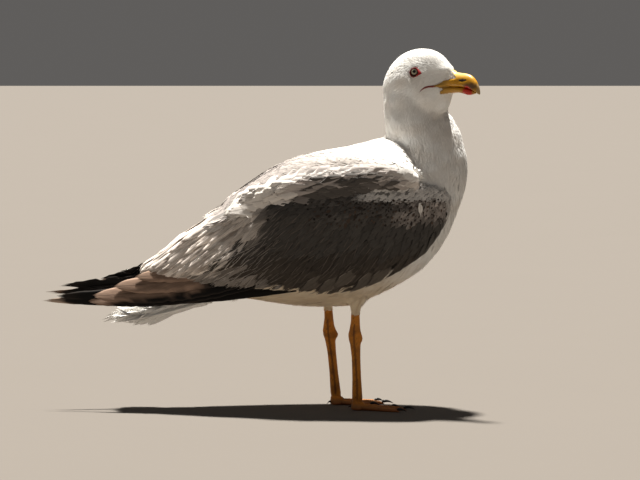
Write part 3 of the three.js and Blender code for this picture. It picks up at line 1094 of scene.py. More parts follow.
def weave(
    name: str, vane: Vane, plumes: Plumes, spines: tuple[Array, Array], axes: Axes, patch: float,
    seed: int
) -> bpy.types.Mesh:
    """Joins a piece's feathers into one mesh.

    Args:
        name: The mesh's name.
        vane: The feathers' shared shape.
        plumes: Where they grow and how they look.
        spines: Their lines and normals.
        axes: Where the body's axes lie.
        patch: Size of each feather's patch on the bake map.
        seed: Seeds their unevenness.

    Returns:
        The joined mesh, in frame metres.
    """
    rng = np.random.default_rng(seed)
    pattern = vane.pattern()
    across_raw = pattern.points[:, 0] * 2
    along_raw = pattern.points[:, 1] + 0.5
    count, size = len(plumes.roots), len(pattern.points)
    line, up = spines
    steps = line.shape[1] - 1
    lanes, lane = np.unique(np.round(across_raw, 4), return_inverse=True)
    uneven = rng.uniform(-1, 1, (count, len(lanes)))[:, lane]
    at_tip = along_raw > 0.999
    along = along_raw - vane.round_tip * across_raw**2 * smooth(0.45, 1.0, along_raw)
    along = along[None] + uneven * vane.ragged * np.where(at_tip, 1.0, 0.25 * (along_raw > 0.3))
    index = np.clip((along * steps).astype(int), 0, steps - 1)
    share = (along * steps - index)[..., None]
    rows = np.arange(count)[:, None]
    centre = line[rows, index] * (1 - share) + line[rows, index + 1] * share
    normal = unit(up[rows, index] * (1 - share) + up[rows, index + 1] * share)
    tangent = unit(line[rows, index + 1] - line[rows, index])
    sideways = unit(np.cross(normal, tangent))
    half = (vane.width(along_raw) * across_raw)[None] * plumes.half_width[:, None]
    if vane.worn:
        levels, level = np.unique(np.round(along_raw, 4), return_inverse=True)
        bites = rng.random((count, len(levels), 2)) ** 2
        half = half * (1 - vane.worn * bites[:, level, (across_raw > 0).astype(int)])
    rise = (
        plumes.root_height[:, None]
        + (plumes.tip_height - plumes.root_height)[:, None] * np.clip(along, 0, 1.2) ** 0.8
    )
    rise = (
        rise - vane.cup * plumes.half_width[:, None] * across_raw[None] ** 2
        * vane.width(along_raw)
    )
    rise = rise + pattern.points[:, 2][None] * vane.thickness
    points = centre + sideways * half[..., None] + normal * rise[..., None]
    mesh = mesh_from_arrays(name, axes.world(points.reshape(-1, 3)), pattern, count)
    vane_map = np.stack([pattern.points[:, 0] + 0.5, along_raw], 1)
    corner = vane_map[pattern.loops]
    add_map(mesh, "vane", np.tile(corner, (count, 1)))
    low, high = plumes.place.min(0), plumes.place.max(0)
    place = 0.02 + 0.96 * (plumes.place - low) / np.maximum(high - low, 1e-6)
    bake = place[:, None] + (corner[None] - 0.5) * patch
    add_map(mesh, "OFBake", np.clip(bake, 0.001, 0.999).reshape(-1, 2))
    paint(mesh, "tint", np.repeat(plumes.tint, size, 0))
    paint(mesh, "marks", np.repeat(plumes.marks, size, 0))
    return mesh


def mesh_from_arrays(name: str, points: Array, pattern: Pattern, count: int) -> bpy.types.Mesh:
    """Makes a mesh of many copies of one net.

    Args:
        name: The mesh's name.
        points: All points, copy after copy.
        pattern: The net's faces.
        count: How many copies there are.

    Returns:
        The mesh.
    """
    size = len(points) // count
    shift = np.arange(count)[:, None]
    loops = (pattern.loops[None] + shift * size).ravel()
    starts = (pattern.starts[None] + shift * len(pattern.loops)).ravel()
    mesh = bpy.data.meshes.new(name)
    mesh.vertices.add(len(points))
    mesh.vertices.foreach_set("co", points.ravel())
    mesh.loops.add(len(loops))
    mesh.loops.foreach_set("vertex_index", loops)
    mesh.polygons.add(len(starts))
    mesh.polygons.foreach_set("loop_start", starts)
    mesh.polygons.foreach_set("use_smooth", np.ones(len(starts), bool))
    mesh.update(calc_edges=True)
    return mesh


def add_map(mesh: bpy.types.Mesh, name: str, corners: Array) -> None:
    """Adds a UV map from one row for each face corner."""
    layer = mesh.uv_layers.new(name=name)
    layer.uv.foreach_set("vector", corners.ravel().astype(np.float32))


def marks_for(dark: Array | float, fringe: Array | float, chance: Array) -> Array:
    """Each feather's dark middle, pale fringe and own random number, as one row."""
    return np.stack([dark + 0 * chance, fringe + 0 * chance, chance], 1)


def retint(mesh: bpy.types.Mesh, count: int, change: Callable[[Array], Array]) -> None:
    """Changes the tint stored with a piece of feathers.

    Args:
        mesh: The piece.
        count: How many feathers it has.
        change: Gives the new colours from the old ones, by feather and point.
    """
    layer = mesh.color_attributes["tint"]
    values = np.empty(len(mesh.vertices) * 4, np.float32)
    layer.data.foreach_get("color", values)
    values = values.reshape(count, -1, 4)
    values[..., :3] = change(values[..., :3])
    layer.data.foreach_set("color", values.ravel())


# ---------------------------------------------------------------- tones and lie of the coat

WHITE = np.array([0.86, 0.845, 0.815])
# Painted sunlight: the sunlit white painted over the front of the grey mantle.
MANTLE_PAINTED_SUNLIGHT = np.array([0.88, 0.85, 0.81])
# Painted sunlight: the grey of the back and of the shoulders' upper feathers, made paler where the
# sun falls from above.
BACK_PAINTED_SUNLIGHT = np.array([0.58, 0.53, 0.49])
# Painted sunlight on the rear shoulder feathers.
SCAPULAR_PAINTED_SUNLIGHT = np.array([0.82, 0.77, 0.72])
SHOULDER_GREY = np.array([0.42, 0.375, 0.35])
# Painted shade on the lower lip of the shoulder feathers, which faces down.
SHOULDER_PAINTED_SHADE = np.array([0.08, 0.071, 0.064])
COVERT_DARK = np.array([0.06, 0.055, 0.05])
COVERT_BROWN = np.array([0.047, 0.038, 0.03])
COVERT_MID = np.array([0.36, 0.32, 0.295])
BAND_PALE = np.array([0.58, 0.56, 0.54])
TERTIAL = np.array([0.74, 0.67, 0.61])
TERTIAL_BROWN = np.array([0.2, 0.14, 0.1])
FLIGHT_BLACK = np.array([0.006, 0.005, 0.0045])
FLIGHT_BROWN = np.array([0.3, 0.2, 0.145])
TIP_BROWN = np.array([0.5, 0.38, 0.3])
# The rear coverts' own pale tone, raised with painted sunlight.
COVERT_REAR_PALE_SUNLIT = np.array([0.62, 0.555, 0.5])
LONG_SHADED = np.array([0.1, 0.087, 0.075])
LOOSE_COVERT = np.array([0.1, 0.085, 0.07])
WISP_FRONT = np.array([0.12, 0.1, 0.085])
WISP_REAR = np.array([0.6, 0.54, 0.49])
SPOT_BLACK = np.array([0.01, 0.006, 0.005])
SPOT_BROWN = np.array([0.1, 0.066, 0.048])
SPOT_WHITE = np.array([0.8, 0.76, 0.71])
FACE_LINE = np.array([0.16, 0.13, 0.12])
# Painted warm light bounced up from the ground onto the underside.
PAINTED_GROUND_BOUNCE = np.array([0.94, 0.79, 0.59])

# Finish settings of the long pale feathers with worn, dark middles.
WORN_PALE = {"dark": (0.1, 0.06, 0.04), "pale": (0.78, 0.72, 0.67), "barbs": 0.7, "relief": 0.3}


# Front edge of the cape over the shoulders: height and x.
MANTLE_EDGE = [
    (244, 70), (253, 70.4), (261, 67.3), (270.5, 62.7), (286, 56.3), (297.7, 46.2), (301, 40.7),
    (306, 34)
]


# Lower edge of the sunlit white painted over the front of the grey mantle: x and height.
PAINTED_SUNLIGHT_EDGE = [(-15.4, 282.3), (15.4, 280), (37.4, 273.4), (53.9, 263.6), (70.4, 252.5)]


def painted_sunlight_share(x: Array, z: Array) -> Array:
    """How much places seen from the side take the sunlit white painted over the front of the grey
    mantle.
    """
    return smooth(-2.5, 2.5, z - table(PAINTED_SUNLIGHT_EDGE, 1, x)) * smooth(-40, -5, x)


def cape(points: Array) -> Array:
    """How far each place lies behind the mantle's front edge, where its painted sunlit white meets
    the neck, in millimetres.
    """
    return table(MANTLE_EDGE, 1, points[:, 2]) - points[:, 0]


def tone(points: Array) -> Array:
    """The coat's tone at places on the body, shared by the skin and the feathers, with painted
    sunlight on the back and a painted warm bounce from the ground on the lower body.

    Args:
        points: Places in body millimetres.

    Returns:
        A colour for each place.
    """
    x, _, z = points.T
    colour = np.tile(WHITE, (len(points), 1))
    upper = table(SHOULDER, 1, x)
    back = (
        smooth(upper - 16, upper - 8, z) * smooth(-4, -2, cape(points)) * smooth(-150, -135, x)
        * (z < 310)
    )
    # Painted sunlight: the back's grey grows paler towards the front.
    grey = mix(SHOULDER_GREY, BACK_PAINTED_SUNLIGHT, smooth(-70, -10, x))
    colour = mix(colour, mix(grey, MANTLE_PAINTED_SUNLIGHT, painted_sunlight_share(x, z)), back)
    rump = smooth(table(WING, 1, x) - 14, table(WING, 1, x) - 6, z) * smooth(-132, -140, x)
    colour = mix(colour, TERTIAL, rump)
    # Painted warm bounce light from the ground on the lower body.
    ground_bounce = smooth(172, 118, z) * smooth(-235, -190, x)
    return colour * mix(np.ones(3), PAINTED_GROUND_BOUNCE, ground_bounce)


def rear_pale_sunlit(x: Array, z: Array) -> Array:
    """How much places seen from the side belong to the pale feathers behind the dark coverts, pale
    in their own colour and paler still with painted sunlight; outside them the long feathers take
    painted shade.
    """
    return smooth(9, -15, x - np.interp(z, [156, 168, 184, 204], [-180, -156, -113, -98]))


def covert_tone(x: Array, z: Array) -> tuple[Array, Array, Array]:
    """The wing coverts' tone at places seen from the side, with a painted shadow line under the
    shoulder feathers and painted shade at the rear of the spotted zone.

    Args:
        x: Places along the body.
        z: Heights.

    Returns:
        The colour, how spotted each place is, and how much it belongs to the pale leading band.
    """
    flat = flat_places(x, z)
    drift = ripple(flat, 30, 9)
    edge = np.maximum(
        smooth(231.0, 234.0, z + 0.8 * drift) * smooth(-2, 22, x), 0.8 * smooth(99, 103, x + drift)
    )
    spots = (
        smooth(197, 219, z + 4 * drift - 0.05 * np.clip(x, -60, 60))
        * smooth(-62, -5, x + 8 * drift)
    )
    tint = mix(COVERT_DARK, COVERT_BROWN, smooth(185, 160, z + 6 * drift))
    tint = mix(tint, tint * 2.2, 0.7 * smooth(142, 133, z) * smooth(20, -20, x))
    # The rear coverts are pale, partly in their own colour and partly with painted sunlight.
    tint = mix(tint, COVERT_REAR_PALE_SUNLIT, 0.9 * rear_pale_sunlit(x + 7 * drift, z))
    # The spotted zone darkens towards its rear: partly its own dark spots, partly painted shade
    # under the shoulder feathers.
    front = 0.1 + 0.8 * smooth(26, 74, x + 8 * drift - 0.4 * (z - 215))
    tint = mix(tint, mix(COVERT_DARK * 0.8, COVERT_MID, front), spots)
    tint = mix(tint, BAND_PALE, edge)
    # Painted shadow: a thin dark line just under the shoulder feathers' lower edge.
    line = (
        smooth(1.8, 0.6, np.abs(z - table(SHOULDER, 2, x) + 1.2)) * smooth(2, 14, x)
        * smooth(76, 70, x)
    )
    tint = tint * (1 - 0.75 * line)[:, None]
    return tint * (1 + 0.1 * ripple(flat, 13, 19))[:, None], spots * (1 - edge), edge


def wing_share(points: Array) -> Array:
    """How much each place belongs to the folded wing's area, from 0 to 1.

    Args:
        points: Places in body millimetres.

    Returns:
        The share of each.
    """
    x, y, z = points.T
    inside = smooth(table(WING, 2, x) - 1, table(WING, 2, x) + 4, z)
    inside = inside * smooth(table(SHOULDER, 1, x) + 2, table(SHOULDER, 1, x) - 3, z)
    return inside * smooth(10, 20, np.abs(y)) * smooth(108, 103, x)


# Each leg's stance: x, distance from the middle, and how far its top leans forward by the belly.
STANCE = {-1: (0.0, 27.0, 0.0), 1: (-22.5, 27.0, -8.5)}
BELLY_HEIGHT = 130


def leg_ahead(points: Array) -> Array:
    """How far each place lies ahead of its own side's leg.

    Args:
        points: Places in body millimetres.

    Returns:
        Millimetres ahead.
    """
    x, y, z = points.T
    right, left = [at + 2.6 + lean * z / BELLY_HEIGHT for at, _, lean in (STANCE[-1], STANCE[1])]
    return x - np.where(y < 0, right, left)


def leg_gap(points: Array) -> Array:
    """How far each place lies from the middle line of its own side's leg."""
    return np.hypot(leg_ahead(points), np.abs(points[:, 1]) - STANCE[1][1])


def lie(points: Array, normals: Array) -> Array:
    """The way the small feathers lie, from the bill back over the head and down to the tail.

    Args:
        points: Places in body millimetres.
        normals: The surface's normals there.

    Returns:
        A direction for each place, along the surface.
    """
    x, z = points[:, 0], points[:, 2]
    neck = (smooth(258, 300, z) * smooth(0, 38, x))[:, None]
    head = smooth(318, 350, z)[:, None]
    front = smooth(35, 110, x)
    trunk = np.stack([-np.ones_like(x), np.zeros_like(x), -0.12 - 1.3 * front], 1)
    local = HEAD.head(points)
    away = unit(local - BILL_ROOT)
    away[:, 2] -= 0.35 + 0.9 * smooth(10, -35, local[:, 0])
    away[:, 2] += 0.75 * smooth(372, 392, local[:, 2]) * smooth(-25, 10, local[:, 0])
    way = unit(trunk) * (1 - neck) + np.array([-0.12, 0.0, -1.0]) * neck
    beside = (smooth(-50, -12, cape(points)) * (cape(points) < 0.5) * smooth(238, 252, z))[:, None]
    way = way * (1 - beside) + np.array([0.35, 0.0, -1.0]) * beside
    way = way * (1 - head) + unit(HEAD.way(away)) * head
    thigh = (smooth(26, 14, leg_gap(points)) * smooth(124, 112, z))[:, None]
    way = way * (1 - thigh) + np.array([-0.1, 0.0, -1.0]) * thigh
    drift = np.stack([ripple(points, 34, 3), ripple(points, 34, 5), ripple(points, 34, 7)], 1)
    return flatten(way + 0.16 * drift, normals)


# ---------------------------------------------------------------- skin


def swell(points: Array, normals: Array) -> Array:
    """How far the loose plumage stands out beyond the joined solids, in millimetres.

    Args:
        points: Places in body millimetres.
        normals: The surface's normals there.

    Returns:
        One length for each place.
    """
    x, _, z = points.T
    ahead = normals[:, 0]
    throat = 4.6 * np.exp(-(((z - 332) / 12) ** 2)) * smooth(0.2, 0.75, ahead) * smooth(60, 85, x)
    chest = 2.0 * np.exp(-(((z - 246) / 26) ** 2)) * smooth(0.4, 0.9, ahead)
    inside = (
        smooth(-3.0, 1.0, cape(points)) * smooth(-5, 32, x) * smooth(238, 250, z)
        * smooth(308, 300, z)
    )
    shoulder = inside * np.interp(z, [250, 262, 285, 300], [4.0, 5.4, 2.4, 1.4])
    low = z - table(SHOULDER, 2, x)
    ridge = (
        2.2 * smooth(-14, -3, z - table(SHOULDER, 1, x)) * smooth(-150, -125, x)
        * smooth(30, 0, x)
    )
    lobe = (
        2.6 * smooth(-0.5, 2.0, low) * smooth(40, 12, low) * smooth(-90, -40, x)
        * smooth(0, 4, cape(points))
    )
    rear = (
        3.4 * smooth(-0.5, 3.0, low) * smooth(30, 8, low) * smooth(-112, -95, x)
        * smooth(-38, -52, x)
    )
    local = HEAD.head(points) - BROW
    brow = 2.0 * np.exp(-((local[:, 0] / 8) ** 2) - ((local[:, 2] / 6) ** 2)) * (
        np.abs(normals[:, 1]) > 0.2
    )
    return throat + chest + brow + np.maximum(
        np.maximum(shoulder, ridge), np.maximum(lobe, rear) * (z > 218)
    )


@dataclass
class Shell:
    """The surfaces that the bird is dressed on."""

    axes: Axes
    body: Surface
    outer: Surface
    outer_mesh: bpy.types.Mesh

    @classmethod
    def make(cls, axes: Axes) -> "Shell":
        """Joins the frame's solids of flesh, with and without the wings.

        Args:
            axes: The part's axes.

        Returns:
            The body.
        """
        pairs = [f"{part}_{side.word}" for part in ("thigh", "eye") for side in Side]
        body = ["head", "neck", "trunk", "rump", *pairs]
        plates = [f"{part}_{side.word}" for part in ("wing", "scapulars") for side in Side]
        body_mesh = remeshed(body + ["bill_upper", "bill_lower"], 1.5, 16)
        outer_mesh = remeshed(body + plates, 2.0, 4)
        for mesh, rounds in ((body_mesh, 60), (outer_mesh, 40)):
            cls._soften(mesh, axes, rounds)
        return cls(axes, Surface(body_mesh, axes), Surface(outer_mesh, axes), outer_mesh)

    @staticmethod
    def _soften(mesh: bpy.types.Mesh, axes: Axes, rounds: int) -> None:
        """Smooths the nape's fold and the groove of the shoulders, then swells the loose plumage.

        Args:
            mesh: The joined body, changed in place.
            axes: The part's axes.
            rounds: Rounds of smoothing.
        """
        bm = bmesh.new()
        bm.from_mesh(mesh)
        points = read_points(mesh, axes)[0]
        x, _, z = points.T
        fold = (np.abs(z - 333) < 20) & (HEAD.head(points)[:, 0] < 12)
        fold |= (z > table(SHOULDER, 1, x) - 8) & (x > -150) & (x < 30) & (z < 296)
        bm.verts.ensure_lookup_table()
        chosen = [bm.verts[i] for i in np.nonzero(fold)[0]]
        relax(bm, chosen, rounds)
        bm.to_mesh(mesh)
        bm.free()
        points, normals = read_points(mesh, axes)
        hollow = 5.6 * np.exp(-(((points[:, 2] - 331) / 14) ** 2)) * smooth(66, 42, points[:, 0])
        hollow = hollow * smooth(-2, -14, points[:, 1])
        points = points + normals * swell(points, normals)[:, None]
        points[:, 1] += hollow
        ahead = leg_ahead(points)
        pull = 4.6 * np.exp(-(((points[:, 2] - 112) / 7) ** 2)) * smooth(
            24, 14, np.abs(np.abs(points[:, 1]) - 27)
        )
        points[:, 0] -= (
            np.sign(ahead) * pull * smooth(3, 11, np.abs(ahead))
            * smooth(36, 22, np.abs(ahead))
        )
        write_points(mesh, points, axes)


@dataclass
class Skin:
    """One skin under the whole coat."""

    head_depth: float = 1.9
    neck_depth: float = 3.2
    trunk_depth: float = 4.6

    def build(self, shell: Shell) -> bpy.types.Object:
        """Shrinks the outer surface by the coat's depth and paints it with the coat's tones.

        Args:
            shell: The surfaces of the bird.

        Returns:
            The skin.
        """
        mesh = shell.outer_mesh
        points, normals = read_points(mesh, shell.axes)
        z = points[:, 2]
        depth = self.trunk_depth + (self.neck_depth - self.trunk_depth) * smooth(250, 300, z)
        depth = depth + (self.head_depth - depth) * smooth(315, 350, z)
        depth = depth * (1 - 0.5 * smooth(128, 110, z))
        coverts = covert_tone(points[:, 0], points[:, 2])[0]
        tint = (
            tone(points) * (1 - wing_share(points)[:, None])
            + coverts * wing_share(points)[:, None]
        )
        write_points(mesh, points - normals * depth[:, None], shell.axes)
        paint(mesh, "tint", tint)
        mesh.polygons.foreach_set("use_smooth", np.ones(len(mesh.polygons), bool))
        finish = MottledFinish("skin_down", coarse=120.0, fine=900.0, strength=0.3, roughness=0.85)
        skin = add_piece("skin", mesh, Slot.FLESH, finish.material())
        nodes = ["head", "neck", "trunk", "rump"]
        nodes += [f"{part}_{side.word}" for part in ("thigh", "wing", "scapulars") for side in Side]
        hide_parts(*nodes)
        return skin


# ---------------------------------------------------------------- bill


def is_horn(points: Array, normals: Array, uneven: float = 0.0, back: float = 0.0) -> Array:
    """Where the bare bill shows, as against feathered skin.

    Args:
        points: Places on the head, in body millimetres.
        normals: The surface's normals there.
        uneven: How far the edge wanders, in millimetres.
        back: How much further ahead the feathers reach, in millimetres.

    Returns:
        True for bare places.
    """
    u, v, z = HEAD.head(points).T
    drift = ripple(points, 2.6, 31) * uneven
    u, z = u + drift - back * smooth(360, 363, z), z + drift * 0.6
    top = np.interp(
        u, [38, 42, 46, 49, 52, 58, 62, 63.8],
        [354.9, 356.2, 357.9, 359.6, 360.9, 361.7, 362.3, 363.4],
    )
    above = (z > top) & ((u < 63.8 - 1.0 * np.maximum(z - 363.4, 0)) | (z > 372.3))
    strip = z > np.interp(u, [38, 45, 49, 51], [354.2, 353.0, 352.4, 351.4])
    wedge = z < np.interp(u, [45.6, 48, 51], [345.8, 349.2, 351.4])
    side = (u > 51) | strip | (wedge & (u > 45.6))
    low = z < np.interp(u, [45, 57, 60], [345.6, 346.6, 340])
    chin = (normals[:, 2] < -0.72) & (np.abs(v) < 6) & (u < 57 - 0.25 * v**2)
    return (u > 38) & ~above & side & ~chin & ~low


@dataclass
class Bill:
    """The bill: for each half x, ridge, cutting edge and half width, in the head's axes."""

    yellow: tuple = (0.62, 0.31, 0.012)
    ochre: tuple = (0.46, 0.2, 0.008)
    olive: tuple = (0.36, 0.2, 0.03)
    # Painted shade for the bill's lower half, then a painted highlight along its ridge.
    shaded: tuple = (0.34, 0.17, 0.012)
    bright: tuple = (0.95, 0.72, 0.26)
    dusky: tuple = (0.075, 0.045, 0.025)
    red: tuple = (0.5, 0.014, 0.008)
    horn: tuple = (0.42, 0.33, 0.2)
    # The nostril's opening, painted nearly black as shade.
    hole: tuple = (0.02, 0.012, 0.008)
    upper: tuple = (
        (38, 355.3, 353.9, 16.4), (42, 356.6, 353.7, 15.2), (46, 358.8, 353.5, 13.6),
        (50, 362, 353.4, 11.8), (53, 366.4, 353.3, 10.0), (56, 371.3, 353.3, 8.6),
        (62, 369.6, 353.2, 7.5), (69, 368.7, 353.3, 6.7), (77, 367.7, 352.3, 6.0),
        (82.6, 365.8, 351.0, 5.3), (87.6, 361.8, 348.9, 4.3), (91, 357.0, 347.0, 3.2),
        (93, 352.0, 345.9, 2.1), (93.8, 348.4, 345.6, 1.0),
    )
    lower: tuple = (
        (38, 354.0, 353.0, 15.8), (42, 353.9, 350.0, 14.6), (46, 353.7, 346.0, 13.0),
        (50, 353.6, 346.4, 11.2), (53, 353.6, 346.7, 9.6), (57, 353.5, 346.9, 7.8),
        (67, 353.4, 347.5, 6.3), (74, 352.9, 346.3, 5.5), (79, 351.8, 345.1, 4.8),
        (84, 350.2, 345.7, 3.7), (88.5, 348, 346.9, 1.5),
    )
    nostril: tuple = (73.9, 360.7, 4.7, 0.85)

    def _column(self, rows: tuple, index: int) -> Callable[[float], float]:
        """A smooth curve through one column.

        Args:
            rows: One half's table.
            index: The column.

        Returns:
            The curve.
        """
        xs = np.array([r[0] for r in rows], float)
        ys = np.array([r[index] for r in rows], float)
        tangents = np.gradient(ys, xs)

        def read(x: float) -> float:
            """The value at a distance from the face.

            Args:
                x: Millimetres from the face.

            Returns:
                The value.
            """
            i = int(np.clip(np.searchsorted(xs, x) - 1, 0, len(xs) - 2))
            width = xs[i + 1] - xs[i]
            t = min(max((x - xs[i]) / width, 0.0), 1.0)
            a = ys[i] * (2 * t**3 - 3 * t**2 + 1) + tangents[i] * width * (t**3 - 2 * t**2 + t)
            return float(
                a + ys[i + 1] * (3 * t**2 - 2 * t**3) + tangents[i + 1] * width * (t**3 - t**2)
            )

        return read

    def _half(
        self, rows: tuple, axes: Axes, share: float, power: float, nostril: bool
    ) -> bmesh.types.BMesh:
        """One half of the bill, lofted along its length.

        Args:
            rows: Its table.
            axes: The part's axes.
            share: How round its upper face is.
            power: How full its section is.
            nostril: Whether it has the nostrils.

        Returns:
            The form.
        """
        top, bottom, width = (self._column(rows, i) for i in (1, 2, 3))
        start, end = rows[0][0], rows[-1][0]

        def place(along: float, angle: float) -> Array:
            """A point of the half's surface.

            Args:
                along: From 0 to 1 along the form.
                angle: Angle around it, in radians.

            Returns:
                The point.
            """
            x = start + (end - start) * (0.5 - 0.5 * math.cos(along * math.pi)) ** 0.9
            ends = min(along, 1 - along) / 0.05
            blunt = 1.0 if ends >= 1 else math.sqrt(max(0.0, 1 - (1 - ends) ** 2))
            high, low, half = top(x), bottom(x), width(x)
            widest = low + (high - low) * share
            c, s = math.cos(angle), math.sin(angle)
            y = half * math.copysign(abs(c) ** (2 / power), c) * blunt
            reach = (high - widest) if s > 0 else (widest - low)
            z = widest + reach * math.copysign(abs(s) ** (2 / power), s) * blunt
            if nostril:
                nx, nz, long, tall = self.nostril
                into = ((x - nx) / long) ** 2 + ((z - nz - (x - nx) * 0.02) / tall) ** 2
                y *= 1 - 0.3 * math.exp(-(into**2) * 0.9)
            return HEAD.body(np.array([x, y, z]))

        return loft(84, 150, place, axes)

    def _fit(self, mesh: bpy.types.Mesh, shell: Shell) -> None:
        """Raises the bare horn to the head's surface and sinks the rest under the face's feathers.

        Args:
            mesh: The bill's mesh.
            shell: The bird's body.
        """
        points, normals = read_points(mesh, shell.axes)
        near, out = shell.body.nearest(points)
        u = HEAD.head(points)[:, 0]
        height = ((points - near) * out).sum(1)
        base = smooth(67, 65, u) * ((out * normals).sum(1) > 0.2) * (height > -3.5)
        bare = is_horn(near, out, 0.0, 1.2)
        goal = np.where(bare, np.maximum(height, -0.1), np.minimum(height, -1.1))
        write_points(mesh, points + out * ((goal - height) * base)[:, None], shell.axes)

    def material(self) -> bpy.types.Material:
        """Yellow horn with a red spot, a dusky band near the tip, a paler tip, painted shade on its
        lower half and a painted highlight along its ridge.

        Returns:
            The material.
        """
        material, g, shader = new_material("bill_horn")
        ahead, height = g.map_parts("bill")
        place = g.object_place()
        wander = g.math("MULTIPLY_ADD", g.noise(place, 260.0, 4.0), 0.12, -0.06)
        x = g.math("ADD", ahead, wander)
        z = g.math("ADD", height, wander)
        yellow = g.blend(
            g.noise(place, 420.0, 5.0), rgb(self.yellow), rgb(self.ochre)
        )
        base = g.blend(g.step(x, 0.2, -0.15), yellow, rgb(self.olive))
        # Painted shade on the lower half of the bill.
        base = g.blend(
            g.math("MULTIPLY", g.step(z, 0.55, 0.2), 0.45), base, rgb(self.shaded)
        )
        # Painted highlight along the ridge.
        ridge = g.blend(
            g.math("MULTIPLY", g.step(z, 0.62, 0.92), 0.7), base, rgb(self.bright)
        )

        def blob(cx: float, cz: float, rx: float, rz: float, soft: float) -> bpy.types.NodeSocket:
            """A soft round patch on the bill.

            Args:
                cx: Its middle along the bill.
                cz: Its middle up it.
                rx: Its reach along.
                rz: Its reach up.
                soft: How soft its edge is.

            Returns:
                The mask.
            """
            dx = g.math("MULTIPLY", g.math("SUBTRACT", x, cx), 1 / rx)
            dz = g.math("MULTIPLY", g.math("SUBTRACT", z, cz), 1 / rz)
            far = g.math(
                "SQRT", g.math("ADD", g.math("MULTIPLY", dx, dx), g.math("MULTIPLY", dz, dz))
            )
            return g.step(far, 1 + soft, 1 - soft)

        dusky = g.math("MULTIPLY", blob(0.76, 0.36, 0.21, 0.13, 0.5), 0.85)
        colour = g.blend(dusky, ridge, rgb(self.dusky))
        colour = g.blend(
            g.math("MULTIPLY", blob(0.65, 0.14, 0.14, 0.23, 0.3), 0.95), colour,
            rgb(self.red),
        )
        colour = g.blend(
            g.math("MULTIPLY", g.step(x, 0.9, 0.98), 0.6), colour, rgb(self.horn)
        )
        streak = g.noise(
            g.vector(g.math("MULTIPLY", ahead, 5.0), g.math("MULTIPLY", height, 42.0), 0.0), 1.0,
            4.0,
        )
        colour = g.shaded(colour, streak, 0.35)
        # Painted shade: the nostril's opening is painted nearly black.
        hole = blob(0.4975, 0.585, 0.118, 0.05, 0.2)
        colour = g.blend(hole, colour, rgb(self.hole))
        g.finish(
            shader, colour, Roughness=0.36, Specular_IOR_Level=0.35, Coat_Weight=0.12,
            Coat_Roughness=0.2
        )
        g.bump(shader, g.math("ADD", streak, g.noise(place, 900.0, 3.0)), 0.25, 0.2)
        return material

    def _map(self, mesh: bpy.types.Mesh, axes: Axes) -> None:
        """Maps the bill by its length and height, from 0 to 1.

        Args:
            mesh: The bill's mesh.
            axes: The part's axes.
        """
        points, _ = read_points(mesh, axes)
        local = HEAD.head(points)
        flat = np.stack([(local[:, 0] - 54) / 40, (local[:, 2] - 345) / 27], 1)
        loops = np.empty(len(mesh.loops), np.int32)
        mesh.loops.foreach_get("vertex_index", loops)
        add_map(mesh, "bill", flat[loops])

    def build(self, shell: Shell) -> None:
        """Builds both halves.

        Args:
            shell: The surfaces of the bird.
        """
        material = self.material()
        for name, rows, share, power, hole in (
            ("bill_upper", self.upper, 0.22, 2.1, True),
            ("bill_lower", self.lower, 0.62, 2.9, False),
        ):
            mesh = smooth_shaded(self._half(rows, shell.axes, share, power, hole), name)
            self._map(mesh, shell.axes)
            self._fit(mesh, shell)
            piece = add_piece(f"{name}_horn", mesh, Slot.BILL, material)
            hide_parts(name)


# ---------------------------------------------------------------- eyes


